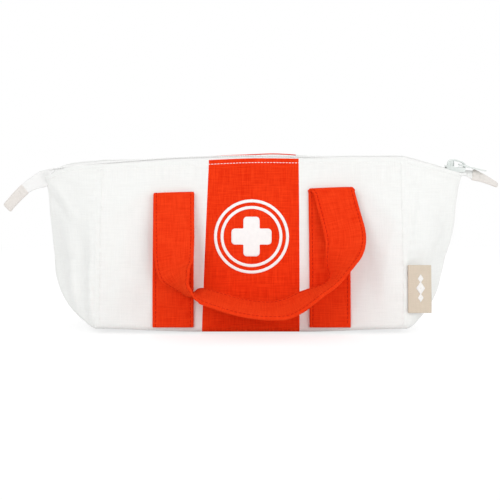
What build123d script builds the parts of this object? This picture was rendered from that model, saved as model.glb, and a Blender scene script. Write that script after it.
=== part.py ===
"""Soft cotton toy doctor bag with a zip, two strap handles and a cross emblem.

Millimetres. X runs along the zip, the front faces -Y, Z is up, and the base rests on Z = 0 with the
origin at its middle. The front and back walls fold outwards about the base edges when the zip is open.
"""
from bisect import bisect
from math import acos, asin, atan2, cos, degrees, dist, pi, radians, sin, sqrt
import os

from build123d import *

# Body
seam_spacing = 227.0  # between the two vertical seams of a wall
base_length = 233.0
base_depth = 86.0
base_corner_radius = 6.0
wall_height = 125.0  # top edge of the fabric at mid length
mouth_width = 16.0  # across both fabric edges at the zip
wall_bulge = 7.0  # how far a wall bows out of a flat sheet
band_width = 68.0  # red band round the middle

# Boxed ends
shoulder_height = 52.0  # where the slanted end facet closes to a fold
shoulder_reach = 147.0  # from mid length to that fold
corner_reach = 157.0  # from mid length to the top corner
corner_drop = 2.7  # of the fabric's top corner below the zip
end_fold_radius = 8.0
gusset_levels = 13  # sections of the end's loft

# Sheets
fabric_thickness = 1.2
lining_thickness = 0.6
print_thickness = 0.3
layer_gap = 0.1  # between sheets that move together
joint_gap = 0.3  # between pieces that move apart
lining_hem = 3.0  # the lining stops this far under the fabric edge

# Emblem
emblem_height = 69.0
cross_span = 31.7
cross_arm = 13.2
cross_corner_radius = 2.9
inner_ring_diameter = 47.5
outer_ring_diameter = 57.0
ring_line = 2.3

# Straps
strap_width = 30.0
strap_thickness = 2.4
strap_spacing = 114.0  # between the middles of the two legs
leg_bottom = 3.0
leg_top = 102.0
loop_drop = 81.6  # from the leg's top to the lowest middle line of the free loop
loop_level_run = 16.0  # stretch at each end of the loop where the strap's width stays level
loop_sections = 68

# Zip
zip_arch_radius = 1150.0
tape_thickness = 0.6
tape_reach = 160.5  # where the tapes end, from mid length
coil_gap = 1.2  # between the two coils
coil_width = 2.8
coil_height = 2.4
left_end_length = 12.5  # of the joined tapes beyond the corner
right_end_length = 5.5
zip_end_width = 11.0
zip_end_thickness = 1.6
left_end_droop = 34.0  # degrees below level
right_end_droop = 20.0

# Tabs at the zip's ends
tab_length = 21.0
tab_width = 9.5
tab_tip_width = 8.0
tab_thickness = 3.0
left_tab_droop = 46.0
right_tab_droop = 21.0

# Slider and its pull
slider_position = 152.0  # closed, from mid length
slider_length = 15.0
slider_width = 10.4
slider_nose_width = 6.6
slider_plate = 1.2
slider_clearance = 0.25
slider_web = 0.7
bridge_length = 7.6
bridge_width = 2.4
bridge_height = 4.6
bridge_bar = 1.3
bridge_forward = 3.0  # of the slider's middle, towards the closed end
pull_length = 21.0
pull_width = 7.0
pull_thickness = 1.4
pull_arm = 1.6
pull_hole_diameter = 2.6
pull_sag = 5.5  # degrees that the resting pull hangs below the slider's plane

# Side label
label_width = 17.5
label_height = 36.0
label_thickness = 0.8
label_bottom = 14.5
label_turn = 10.0  # degrees that the label leans back from the wall's plane

seam_x = seam_spacing / 2
wall_x = seam_x - joint_gap
band_x = band_width / 2
base_y = base_depth / 2
mouth_y = mouth_width / 2
arch_z = wall_height - zip_arch_radius
shell_bottom = fabric_thickness + joint_gap


def wall_circle():
    """Radius of the front wall's outer face, and how far and how high its centre lies behind it."""
    run, rise = base_y - mouth_y, wall_height
    chord = sqrt(run * run + rise * rise)
    radius = (chord * chord / 4 + wall_bulge * wall_bulge) / (2 * wall_bulge)
    back = radius - wall_bulge
    middle = (base_y + mouth_y) / 2
    return radius, back * rise / chord - middle, rise / 2 - back * run / chord


wall_radius, wall_centre_y, wall_centre_z = wall_circle()


def half_depth(z, offset=0.0):
    """Distance of a wall's face from the middle plane, at a height and an outward offset."""
    return sqrt((wall_radius + offset) ** 2 - (z - wall_centre_z) ** 2) - wall_centre_y


def arch_height(x, offset=0.0):
    """Height of the arched zip edge at a distance from mid length."""
    return arch_z + sqrt((zip_arch_radius + offset) ** 2 - x * x)


corner_height = arch_height(corner_reach) - corner_drop


def prism(edges, amount, direction):
    """A closed outline of edges, carried along a direction."""
    return extrude(Face(Wire(edges)), amount=amount, dir=direction)


def wall_layer(inner, outer, x0, x1, z0, z1):
    """A sheet on the front wall between two outward offsets, two seams and two heights."""
    def at(offset, z):
        return (x0, -half_depth(z, offset), z)

    zm = (z0 + z1) / 2
    edges = [
        Edge.make_three_point_arc(at(outer, z0), at(outer, zm), at(outer, z1)),
        Edge.make_line(at(outer, z1), at(inner, z1)),
        Edge.make_three_point_arc(at(inner, z1), at(inner, zm), at(inner, z0)),
        Edge.make_line(at(inner, z0), at(outer, z0)),
    ]
    return prism(edges, x1 - x0, (1, 0, 0))


def arch_layer(lower, upper, x0, x1, y0, y1):
    """A strip that follows the zip's arch between two offsets."""
    def at(offset, x):
        return (x, y0, arch_height(x, offset))

    xm = (x0 + x1) / 2
    edges = [
        Edge.make_three_point_arc(at(lower, x0), at(lower, xm), at(lower, x1)),
        Edge.make_line(at(lower, x1), at(upper, x1)),
        Edge.make_three_point_arc(at(upper, x1), at(upper, xm), at(upper, x0)),
        Edge.make_line(at(upper, x0), at(lower, x0)),
    ]
    return prism(edges, y1 - y0, (0, 1, 0))


def under_arch(shape, drop=0.0):
    """The part of a shape below the zip's arch, or below it by a drop."""
    reach = base_depth
    return shape & Pos(0, 0, arch_z) * Rot(90, 0, 0) * Cylinder(zip_arch_radius - drop, 2 * reach)


def back_of(shape):
    """The back wall's copy of a piece of the front wall."""
    return mirror(shape, about=Plane.XZ)


def left_of(shape):
    """The left end's copy of a piece of the right end."""
    return mirror(shape, about=Plane.YZ)


# Walls -------------------------------------------------------------------------------------------

def wall_fabric(x0, x1):
    """Outer fabric of a wall between two seams, up to the zip."""
    sheet = wall_layer(-fabric_thickness, 0, x0, x1, shell_bottom, wall_height + fabric_thickness)
    return under_arch(sheet)


def wall_lining():
    """Cotton lining behind the whole wall."""
    outer = -fabric_thickness - layer_gap
    sheet = wall_layer(
        outer - lining_thickness, outer, -wall_x, wall_x, lining_bottom(), wall_height
    )
    return under_arch(sheet, lining_hem)


def lining_bottom():
    """Height at which the walls' lining starts, clear of the base lining."""
    return shell_bottom + lining_thickness + joint_gap


def strap_leg(x):
    """One leg of a strap, sewn flat on the wall."""
    half = strap_width / 2
    return wall_layer(layer_gap, layer_gap + strap_thickness, x - half, x + half, leg_bottom, leg_top)


def emblem_film():
    """Layer of print on the red band, round the emblem."""
    half = outer_ring_diameter / 2 + ring_line
    bottom = layer_gap / 2
    top = bottom + print_thickness
    return wall_layer(bottom, top, -half, half, emblem_height - half, emblem_height + half)


def printed(outline):
    """A flat outline, printed on the front band."""
    stamp = extrude(Plane.XZ * Pos(0, emblem_height) * outline, amount=base_depth)
    return emblem_film() & stamp


def cross_outline():
    """Equal-armed cross with rounded outer corners."""
    cross = Rectangle(cross_span, cross_arm) + Rectangle(cross_arm, cross_span)
    tips = [v for v in cross.vertices() if max(abs(v.X), abs(v.Y)) > cross_arm]
    return fillet(tips, cross_corner_radius)


def ring_outline(diameter):
    """Thin ring with the given outer diameter."""
    return Circle(diameter / 2) - Circle(diameter / 2 - ring_line)


# Boxed ends --------------------------------------------------------------------------------------

def end_reach(z):
    """Distance of the end's outermost line from mid length: a slanted facet, then a steep fold."""
    start = base_length / 2
    if z < shoulder_height:
        return start + (shoulder_reach - start) * sin(pi / 2 * z / shoulder_height) ** 0.9
    rise = (z - shoulder_height) / (corner_height - shoulder_height)
    return shoulder_reach + (corner_reach - shoulder_reach) * rise


def facet_half_width(z):
    """Half width of the slanted facet, which closes to the fold at the shoulder."""
    fall = max(0.0, 1 - z / shoulder_height)
    return end_fold_radius + (base_y - end_fold_radius) * fall


def end_section(z, inset, open_x):
    """Outline of the right end at a height: straight sides, rounded corners and the facet."""
    blend = min(1.0, z / shoulder_height)
    radius = base_corner_radius + (end_fold_radius - base_corner_radius) * blend
    cx = end_reach(z) - radius
    cy = max(facet_half_width(z) - radius, layer_gap)
    radius -= inset
    side_y = half_depth(z, -inset)
    lean = atan2(side_y - cy, seam_x - cx)
    start = lean - acos(radius / sqrt((seam_x - cx) ** 2 + (side_y - cy) ** 2))
    touch = (cx + radius * cos(start), cy + radius * sin(start))
    middle = (cx + radius * cos(start / 2), cy + radius * sin(start / 2))
    side = [(open_x, side_y), (seam_x, side_y), touch, middle, (cx + radius, cy)]
    front = [(x, -y, z) for x, y in side]
    back = [(x, y, z) for x, y in side]
    edges = [
        Edge.make_line(front[1], front[2]),
        Edge.make_three_point_arc(front[2], front[3], front[4]),
        Edge.make_line(front[4], back[4]),
        Edge.make_three_point_arc(back[4], back[3], back[2]),
        Edge.make_line(back[2], back[1]),
    ]
    if open_x < seam_x:
        edges.insert(0, Edge.make_line(front[0], front[1]))
        edges.append(Edge.make_line(back[1], back[0]))
        edges.append(Edge.make_line(back[0], front[0]))
    else:
        edges.append(Edge.make_line(back[1], front[1]))
    return Wire(edges)


def end_solid(inset, open_x, first, last):
    """Closed solid inside one surface of the right end, between two of its levels."""
    step = wall_height / gusset_levels
    sections = [end_section(i * step, inset, open_x) for i in range(first, last + 1)]
    return Solid.make_loft(sections, ruled=True)


def under_corner(shape, bottom, drop):
    """The part of an end above a height and below its fabric edge, which falls to the top corner."""
    edge_z = arch_height(seam_x) - drop
    slope = (corner_height - drop - edge_z) / (corner_reach - seam_x)
    far_x = corner_reach + end_fold_radius
    outline = [
        (0, -base_y, bottom),
        (0, -base_y, edge_z - slope * seam_x),
        (far_x, -base_y, edge_z + slope * (far_x - seam_x)),
        (far_x, -base_y, bottom),
    ]
    edges = [Edge.make_line(outline[i - 1], outline[i]) for i in range(len(outline))]
    return shape & prism(edges, base_depth, (0, 1, 0))


def end_shell(outer, thickness, bottom, drop=0.0):
    """One sheet of the right end: the space between two of its surfaces, open at the seam."""
    skin = end_solid(outer, seam_x, 0, gusset_levels)
    core = end_solid(outer + thickness, seam_x - end_fold_radius, 0, gusset_levels)
    return under_corner(skin - core, bottom, drop)


def end_lining():
    """Lining of the right end."""
    return end_shell(fabric_thickness + layer_gap, lining_thickness, lining_bottom(), lining_hem)


# Base --------------------------------------------------------------------------------------------

def base_outline(inset=0.0):
    """The bag's footprint."""
    return RectangleRounded(base_length - 2 * inset, base_depth - 2 * inset, base_corner_radius)


def base_panel(x0, x1):
    """One piece of the base fabric between two seams."""
    sheet = extrude(base_outline(), amount=fabric_thickness)
    return sheet & Pos((x0 + x1) / 2, 0, 0) * Box(x1 - x0, base_depth, 2 * fabric_thickness)


def base_lining():
    """Lining that lies on the base fabric."""
    inset = fabric_thickness + lining_thickness + joint_gap
    sheet = extrude(base_outline(inset), amount=lining_thickness)
    return Pos(0, 0, fabric_thickness + layer_gap) * sheet


# Handle loops ------------------------------------------------------------------------------------

# Middle line of the front loop: along X as a share of half the leg spacing, distance out from the
# sewn leg's face, height left as a share of the drop, turn of the strap's width and fall of its
# front edge, both in degrees.
loop_stations = [
    (-1.000, 1.65, 1.000, 0, 0),
    (-0.998, 2.3, 0.896, 0, 0),
    (-0.993, 4.0, 0.767, 1, 0),
    (-0.986, 7.0, 0.626, 5, 0),
    (-0.977, 11.0, 0.479, 15, -20),
    (-0.953, 14.6, 0.350, 31, -27),
    (-0.912, 15.8, 0.282, 51, -22),
    (-0.847, 16.0, 0.201, 76, -19),
    (-0.772, 15.8, 0.150, 88, -19),
    (-0.709, 15.6, 0.137, 92, -2),
    (-0.644, 15.4, 0.134, 92, 8),
    (-0.509, 15.0, 0.105, 90, 12),
    (-0.175, 14.4, 0.036, 90, 13),
    (0.088, 14.2, 0.005, 90, 13),
    (0.281, 14.2, 0.000, 90, 14),
    (0.456, 14.4, 0.022, 90, 18),
    (0.614, 15.0, 0.076, 90, 18),
    (0.754, 15.6, 0.130, 90, 11),
    (0.877, 16.0, 0.176, 90, 3),
    (0.989, 16.0, 0.223, 88, 0),
    (1.053, 16.0, 0.277, 80, 0),
    (1.091, 15.8, 0.344, 66, 0),
    (1.126, 14.6, 0.414, 49, 0),
    (1.168, 12.2, 0.498, 31, 0),
    (1.189, 9.8, 0.581, 19, 0),
    (1.181, 7.6, 0.663, 9, 0),
    (1.151, 5.6, 0.749, 3, 0),
    (1.095, 3.2, 0.871, 0, 0),
    (1.039, 1.75, 1.000, 0, 0),
]
loop_rows = [
    (along * strap_spacing / 2, out, leg_top - loop_drop * (1 - left), turn, fall)
    for along, out, left, turn, fall in loop_stations
]
loop_knots = [0.0]
for row, following in zip(loop_rows, loop_rows[1:]):
    loop_knots.append(loop_knots[-1] + dist(row[:3], following[:3]))


def loop_trend(i):
    """Rate of change of the station values at one station, by its neighbours."""
    before, after = max(i - 1, 0), min(i + 1, len(loop_rows) - 1)
    span = loop_knots[after] - loop_knots[before]
    return [(b - a) / span for a, b in zip(loop_rows[before], loop_rows[after])]


def loop_state(s):
    """Station values at a distance along the loop, on a smooth curve through the stations."""
    i = min(max(bisect(loop_knots, s) - 1, 0), len(loop_rows) - 2)
    span = loop_knots[i + 1] - loop_knots[i]
    u = (s - loop_knots[i]) / span
    ends = zip(loop_rows[i], loop_trend(i), loop_rows[i + 1], loop_trend(i + 1))
    return [
        (1 + 2 * u) * (1 - u) ** 2 * a + u**2 * (3 - 2 * u) * b
        + span * (u * (1 - u) ** 2 * m - u**2 * (1 - u) * n)
        for a, m, b, n in ends
    ]


def loop_point(s):
    """Middle of the front loop at a distance along it."""
    x, out, z = loop_state(s)[:3]
    return Vector(x, -half_depth(z, layer_gap + strap_thickness) - out, z)


def loop_section(s):
    """Cross-section of the strap, square to the loop's run except near its level ends."""
    step = 0.5
    length = loop_knots[-1]
    run = (loop_point(min(s + step, length)) - loop_point(max(s - step, 0))).normalized()
    turn, fall = (radians(value) for value in loop_state(s)[3:])
    width = Vector(cos(turn), -sin(turn) * cos(fall), -sin(turn) * sin(fall))
    level = min(s, length - s, loop_level_run) / loop_level_run
    squared = level**2 * (3 - 2 * level)
    width = (width - run * width.dot(run) * squared).normalized()
    facing = run - width * run.dot(width)
    frame = Plane(origin=loop_point(s), x_dir=width, z_dir=facing)
    return (frame * Rectangle(strap_width, strap_thickness)).wire()


def handle_loop():
    """Free part of the front strap: down from the left leg's top, across, and up to the right."""
    sections = [loop_section(i / loop_sections * loop_knots[-1]) for i in range(loop_sections + 1)]
    room = Box(2 * base_length, 4 * base_depth, leg_top, align=(Align.CENTER, Align.CENTER, Align.MIN))
    return Solid.make_loft(sections, ruled=True) & room


# Zip ---------------------------------------------------------------------------------------------

def tape_strip(x0, x1):
    """Front zip tape between two distances from mid length."""
    return arch_layer(layer_gap, layer_gap + tape_thickness, x0, x1, -mouth_y, -coil_gap / 2)


def coil_strip(x0, x1):
    """Front coil on its tape."""
    foot = layer_gap + tape_thickness
    return arch_layer(foot, foot + coil_height, x0, x1, -coil_gap / 2 - coil_width, -coil_gap / 2)


def both_sides(shape):
    """A front strip and its back copy, as two solids."""
    return [shape, back_of(shape)]


def zip_end_frame(droop):
    """Plane at the end of the right tapes, its X running outwards and down by the droop."""
    z = arch_height(tape_reach, layer_gap)
    run = (cos(radians(droop)), 0, -sin(radians(droop)))
    normal = (sin(radians(droop)), 0, cos(radians(droop)))
    return Plane(origin=(tape_reach + layer_gap, 0, z), x_dir=run, z_dir=normal)


def tapered(length, start_width, end_width, thickness):
    """Flat tapered strip along X, from the origin."""
    outline = Polyline(
        (0, -start_width / 2),
        (length, -end_width / 2),
        (length, end_width / 2),
        (0, start_width / 2),
        close=True,
    )
    return extrude(make_face(outline), amount=thickness)


def zip_end(length, droop):
    """Joined ends of both tapes, running out to the tab."""
    strip = tapered(length, zip_end_width, tab_width, zip_end_thickness)
    return zip_end_frame(droop) * strip


def end_tab(end_length, end_droop, tab_droop):
    """Folded fabric tab sewn to the end of the zip."""
    body = Pos(0, 0, -tab_thickness / 2) * tapered(tab_length, tab_width, tab_tip_width, tab_thickness)
    body = fillet(body.edges().filter_by(Axis.Z).sort_by(Axis.X)[-2:], tab_tip_width / 4)
    frame = zip_end_frame(end_droop)
    lead = end_length + layer_gap + tab_thickness / 2 * sin(radians(abs(tab_droop - end_droop)))
    foot = frame.origin + frame.x_dir * lead + frame.z_dir * zip_end_thickness / 2
    turn = Plane(
        origin=foot,
        x_dir=(cos(radians(tab_droop)), 0, -sin(radians(tab_droop))),
        z_dir=(sin(radians(tab_droop)), 0, cos(radians(tab_droop))),
    )
    return turn * body


# Slider ------------------------------------------------------------------------------------------

coil_top = layer_gap + tape_thickness + coil_height
top_plate_z = wall_height + coil_top + slider_clearance
bottom_plate_z = wall_height + layer_gap - slider_clearance - slider_plate
slider_top = top_plate_z + slider_plate
pull_axis_z = slider_top + (bridge_height - bridge_bar) / 2


def slider_plate_outline():
    """Plan of a slider plate: wide shoulders at the nose, narrower at the tail."""
    half = slider_length / 2
    outline = Polyline(
        (-half, -slider_nose_width / 2),
        (-half / 2, -slider_width / 2),
        (half, -slider_width / 2),
        (half, slider_width / 2),
        (-half / 2, slider_width / 2),
        (-half, slider_nose_width / 2),
        close=True,
    )
    return fillet(make_face(outline).vertices(), slider_plate)


def at_slider(shape):
    """Carry a piece from the arch's crown to the closed slider's place."""
    turn = degrees(asin(slider_position / zip_arch_radius))
    return shape.rotate(Axis((0, 0, arch_z), (0, 1, 0)), turn)


def slider_body():
    """Two plates joined by a web between the coils, with a flange down each side."""
    plan = slider_plate_outline()
    body = Pos(0, 0, top_plate_z) * extrude(plan, amount=slider_plate)
    body += Pos(0, 0, bottom_plate_z) * extrude(plan, amount=slider_plate)
    web_height = top_plate_z - bottom_plate_z
    web_length = slider_length / 4
    web = Box(web_length, slider_web, web_height, align=(Align.MAX, Align.CENTER, Align.MIN))
    body += Pos(slider_length / 2 - slider_plate, 0, bottom_plate_z) * web
    flange_inner = coil_gap / 2 + coil_width + slider_clearance
    flange_bottom = wall_height + layer_gap + tape_thickness + slider_clearance
    height = top_plate_z - flange_bottom + slider_plate
    width = slider_width / 2 - flange_inner
    flange = Box(slider_length, width, height, align=(Align.CENTER, Align.MIN, Align.MIN))
    flange = (Pos(0, flange_inner, 0) * flange) & extrude(plan, amount=height)
    flange = Pos(0, 0, flange_bottom) * flange
    return at_slider(body + flange + back_of(flange))


def slider_bridge():
    """Arched loop on the top plate that holds the pull."""
    outer = Box(bridge_length, bridge_width, bridge_height, align=(Align.CENTER, Align.CENTER, Align.MIN))
    corners = outer.edges().filter_by(Axis.Y).group_by(Axis.Z)[-1]
    outer = fillet(corners, bridge_bar)
    hole_length = bridge_length - 2 * bridge_bar
    hole_height = bridge_height - bridge_bar
    hole = Box(hole_length, 2 * bridge_width, hole_height, align=(Align.CENTER, Align.CENTER, Align.MIN))
    return at_slider(Pos(bridge_forward, 0, slider_top) * (outer - hole))


def pull():
    """Flat pull: a bar under the bridge, two arms, and a plate with a hole near its tip."""
    bar_radius = pull_thickness / 2
    bar = Rot(90, 0, 0) * Cylinder(bar_radius, pull_width)
    start = bridge_length / 2 + bridge_bar
    frame_length = start + pull_arm
    frame = Box(frame_length, pull_width, pull_thickness, align=(Align.MIN, Align.CENTER, Align.CENTER))
    eye = Box(
        start, pull_width - 2 * pull_arm, 2 * pull_thickness, align=(Align.MIN, Align.CENTER, Align.CENTER)
    )
    plate_length = pull_length - start
    plan = SlotOverall(plate_length, pull_width)
    plate = extrude(Pos(start + plate_length / 2, 0) * plan, amount=pull_thickness / 2, both=True)
    hole = Pos(pull_length - pull_width / 2, 0, 0) * Cylinder(pull_hole_diameter / 2, 2 * pull_thickness)
    body = bar + (frame + plate - eye) - hole
    return at_slider(Pos(bridge_forward, 0, pull_axis_z) * Rot(0, pull_sag, 0) * body)


# Label -------------------------------------------------------------------------------------------

def label_frame():
    """Plane at the label's lower sewn corner: X out along its width, Y up the seam, Z to the front."""
    top = label_bottom + label_height
    out = label_thickness / 2 + joint_gap
    ends = (half_depth(label_bottom, out) + half_depth(top, out)) / 2
    bow = half_depth((label_bottom + top) / 2, out) - ends
    y0, y1 = -half_depth(label_bottom, out) - bow, -half_depth(top, out) - bow
    up = Vector(0, y1 - y0, top - label_bottom).normalized()
    turn = radians(label_turn)
    front = Vector(1, 0, 0).cross(up)
    width = Vector(1, 0, 0) * cos(turn) - front * sin(turn)
    return Plane(origin=(seam_x + joint_gap, y0, label_bottom), x_dir=width, z_dir=width.cross(up))


def side_label():
    """Woven label sewn in at the right front seam, standing out sideways."""
    plate = Box(label_width, label_height, label_thickness, align=(Align.MIN, Align.MIN, Align.CENTER))
    return label_frame() * plate


# Assembly ----------------------------------------------------------------------------------------

def wall_pieces(side, place):
    """Fabric, lining, straps and zip half of one wall, by name."""
    half_strap = strap_spacing / 2
    gap = layer_gap / 2
    pieces = {
        "panel_left": wall_fabric(-wall_x, -band_x - gap),
        "panel_right": wall_fabric(band_x + gap, wall_x),
        "band": wall_fabric(-band_x + gap, band_x - gap),
        "lining": wall_lining(),
        "strap_leg_left": strap_leg(-half_strap),
        "strap_leg_right": strap_leg(half_strap),
        "strap_loop": handle_loop(),
        "zip_tape": tape_strip(-wall_x, wall_x),
        "zip_coil": coil_strip(-wall_x, wall_x),
    }
    return {f"{side}_{name}": placed(shape, place) for name, shape in pieces.items()}


def end_pieces(side, place, end_length, end_droop, tab_droop):
    """Fabric, lining, zip ends and tab of one end, by name."""
    pieces = {
        "gusset": end_shell(0, fabric_thickness, shell_bottom),
        "gusset_lining": end_lining(),
        "zip_tape_ends": both_sides(tape_strip(seam_x, tape_reach)) + [zip_end(end_length, end_droop)],
        "zip_coil_ends": both_sides(coil_strip(seam_x, tape_reach)),
        "zip_tab": end_tab(end_length, end_droop, tab_droop),
    }
    return {f"{side}_{name}": placed(shape, place) for name, shape in pieces.items()}


def placed(shape, place):
    """A shape carried to its place, or a list of shapes as one group of separate solids."""
    if isinstance(shape, list):
        return Compound(children=[place(part) for part in shape])
    return place(shape)


def model():
    """Every piece of the bag by its node name."""
    gap = layer_gap / 2
    half_base = base_length / 2
    pieces = {
        "base_left": base_panel(-half_base, -band_x - gap),
        "base_band": base_panel(-band_x + gap, band_x - gap),
        "base_right": base_panel(band_x + gap, half_base),
        "base_lining": base_lining(),
        "emblem_cross": printed(cross_outline()),
        "emblem_inner_ring": printed(ring_outline(inner_ring_diameter)),
        "emblem_outer_ring": printed(ring_outline(outer_ring_diameter)),
        "zip_slider": slider_body(),
        "zip_slider_bridge": slider_bridge(),
        "zip_pull": pull(),
        "side_label": side_label(),
    }
    pieces.update(wall_pieces("front", lambda shape: shape))
    pieces.update(wall_pieces("back", back_of))
    right = (right_end_length, right_end_droop, right_tab_droop)
    left = (left_end_length, left_end_droop, left_tab_droop)
    pieces.update(end_pieces("right", lambda shape: shape, *right))
    pieces.update(end_pieces("left", left_of, *left))
    return pieces


os.makedirs("parts", exist_ok=True)
for node_name, node_shape in model().items():
    export_step(node_shape, f"parts/{node_name}.step")
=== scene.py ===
import math

import bpy
import numpy as np
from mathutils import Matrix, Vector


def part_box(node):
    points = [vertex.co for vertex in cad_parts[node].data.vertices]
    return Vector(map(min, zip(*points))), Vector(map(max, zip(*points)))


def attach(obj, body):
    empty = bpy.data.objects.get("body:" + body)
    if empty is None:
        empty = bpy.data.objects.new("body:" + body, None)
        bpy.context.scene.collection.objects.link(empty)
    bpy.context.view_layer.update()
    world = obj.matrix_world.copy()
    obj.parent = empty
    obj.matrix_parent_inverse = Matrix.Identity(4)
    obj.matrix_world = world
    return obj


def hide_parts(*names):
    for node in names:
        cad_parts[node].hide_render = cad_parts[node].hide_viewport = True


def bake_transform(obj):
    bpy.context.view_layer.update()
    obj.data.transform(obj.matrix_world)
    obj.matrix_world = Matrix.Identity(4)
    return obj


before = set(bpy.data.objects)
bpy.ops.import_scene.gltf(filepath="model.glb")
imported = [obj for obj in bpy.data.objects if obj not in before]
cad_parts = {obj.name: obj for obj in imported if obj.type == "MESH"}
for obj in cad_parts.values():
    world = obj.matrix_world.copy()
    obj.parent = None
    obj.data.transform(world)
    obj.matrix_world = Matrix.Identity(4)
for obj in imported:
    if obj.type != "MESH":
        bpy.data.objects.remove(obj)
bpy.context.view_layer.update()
print("frame loaded:", len(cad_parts), "nodes")

# Lengths are millimetres until a mesh is written; X runs along the zip, the front faces -Y.
mm = 0.001
front, back = -1, 1
left, right = -1, 1
sideNames = {front: "front", back: "back"}
endNames = {left: "left", right: "right"}

bag = {
    "seamX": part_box("right_gusset")[0][0] / mm,
    "baseX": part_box("base_right")[1][0] / mm,
    "baseY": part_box("base_band")[1][1] / mm,
    "bandX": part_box("front_band")[1][0] / mm,
    "topZ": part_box("front_band")[1][2] / mm,
    "mouthY": -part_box("front_zip_tape")[0][1] / mm,
    "bulge": 7.0,  # how far a wall bows out of the plane through its two edges
    "archRadius": 1150.0,  # the upper edge is a wide arc
    "bottomRound": 5.0,  # radius between the walls and the base, in this many rows
    "roundRows": 5,
    "cornerRadius": 6.0,  # an end's corners in plan, at the base
    "foldRadius": 7.0,  # and from the shoulder up, where the two corners have met in one fold
    "shoulderZ": 52.0,
    "tipX": 157.0,  # top corner of an end, and how far it hangs below the arc
    "tipDrop": 2.7,
    "hemSlack": 22.0,  # how far under the edge the hem's own height reaches
    "endBulge": 2.6,  # the ends' sides bow out too, growing from the base and fading at the top
    "bulgeFoot": 30.0,
    "bulgeTop": 118.0,
    "bulgeFade": 40.0,
    "bendFoot": 6.0,  # height over which the fold at a wall's foot spreads
    "openShare": 0.63,  # part of each end that goes along when a wall opens
    # the base lifts towards its corners and its long edges: height, where it starts, run, and Z where it ends
    "lifts": ((2.1, 40, 72, 50), (1.1, 22, 20, 40)),
}
# the two layers: thickness, depth under the outer face, drop under its edge and cell size;
# an end's grid is its columns, rows and rows round the bottom edge
shell = {"cloth": 1.2, "depth": 0.0, "drop": 0.0, "cell": 1.3, "endGrid": (46, 92, 5)}
lining = {
    "cloth": 0.6, "depth": 1.5, "drop": 3.0, "cell": 3.0, "endGrid": (20, 36, 4),
    "baseZ": 1.9, "baseInset": 2.6,
}
# outermost line of each end: heights, and the distance from mid length at each
reach = {
    left: (
        (0, 14, 25, 37, 47, 64, 83, 102, 111),
        (116.5, 132.6, 141, 146.6, 148.6, 150, 151.6, 152.6, 155.5),
    ),
    right: (
        (0, 14, 27, 47, 64, 79, 90, 102, 112),
        (116.5, 130, 138.6, 145.2, 151, 153.4, 153.6, 155.6, 158),
    ),
}
# the slack upper hems stand above the zip: X along the bag, and the height over the plain edge there
hems = {
    front: (
        (-155, -149, -145, -139, -133, -126, -114, -77, -47, -31, 0, 34, 59, 82, 112, 120, 128, 146, 156),
        (0, 0.5, 1.9, 4.0, 4.5, 3.6, 2.0, 0.3, -0.5, -0.2, 0.7, 0.9, 2.4, 4.0, 6.0, 5.9, 5.1, 4.4, 2.6),
    ),
    back: (
        (-155, -149, -145, -139, -133, -125, -107, -89, -70, -43, -25, 0,
         14, 24, 40, 56, 75, 93, 112, 120, 129, 146, 156),
        (0, 3.4, 5.2, 6.0, 5.7, 4.9, 3.3, 2.3, 1.0, 1.2, 2.0, 2.6,
         3.5, 3.4, 2.5, 2.6, 4.0, 5.3, 7.0, 7.2, 6.2, 4.4, 2.6),
    ),
}
# the bands lean a little: X of each seam at the base and at the top
bandSeams = {
    (front, left): (-36.2, -31.6), (front, right): (35.0, 35.0),
    (back, left): (-34.6, -33.4), (back, right): (34.4, 33.6),
}


def smooth(t):  # 3t^2 - 2t^3 between 0 and 1
    t = np.clip(t, 0, 1)
    return t * t * (3 - 2 * t)


def bump(d, width):  # Gaussian hill over a distance
    return np.exp(-(d / width) ** 2)


def unit(v):  # each vector over its own length
    return v / np.linalg.norm(v, axis=-1, keepdims=True)


def runOf(points):  # distance along a line, from its first point to each point
    return np.concatenate([[0], np.cumsum(np.linalg.norm(np.diff(points, axis=0), axis=1))])


def wallCircle():  # circle through the base edge and the mouth edge, bowed out by the bulge
    run, rise = bag["baseY"] - bag["mouthY"], bag["topZ"]
    chord = math.hypot(run, rise)
    radius = (chord * chord / 4 + bag["bulge"] ** 2) / (2 * bag["bulge"])
    behind = radius - bag["bulge"]
    middle = (bag["baseY"] + bag["mouthY"]) / 2
    return radius, behind * rise / chord - middle, rise / 2 - behind * run / chord


wallRadius, wallBackY, wallCentreZ = wallCircle()


def halfDepth(z, offset=0.0):  # distance of the wall from the middle plane
    return np.sqrt((wallRadius + offset) ** 2 - (z - wallCentreZ) ** 2) - wallBackY


def wallNormal(x, z, side):  # from the wall's circle straight outwards
    return unit(np.stack([0 * x, side * (halfDepth(z) + wallBackY), z - wallCentreZ], axis=-1))


def archZ(x):  # height of the fabric's edge along the zip
    return bag["topZ"] - bag["archRadius"] + np.sqrt(bag["archRadius"] ** 2 - x * x)


def endTopZ(x):  # fabric edge of an end: falls straight from the seam to the top corner
    t = (np.abs(x) - bag["seamX"]) / (bag["tipX"] - bag["seamX"])
    return archZ(bag["seamX"]) + (archZ(bag["tipX"]) - bag["tipDrop"] - archZ(bag["seamX"])) * t


def softened(table, at, offsets):  # a table read at several offsets and averaged: its corners get round
    return np.mean([np.interp(at + d, *table) for d in offsets], axis=0)


def hemLift(x, z, top, side):  # the hem's height, none of it below the slack and all of it at the edge
    return softened(hems[side], x, (-6, -3, 0, 3, 6)) * smooth((z - top) / bag["hemSlack"] + 1)


def endReach(z, end):  # how far an end stands out at a height
    return softened(reach[end], z, (-5, -3, -1, 1, 3, 5))


def bandSeam(z, side, end):  # X of a band's seam at a height
    low, high = bandSeams[(side, end)]
    return low + (high - low) * z / bag["topZ"]


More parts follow.
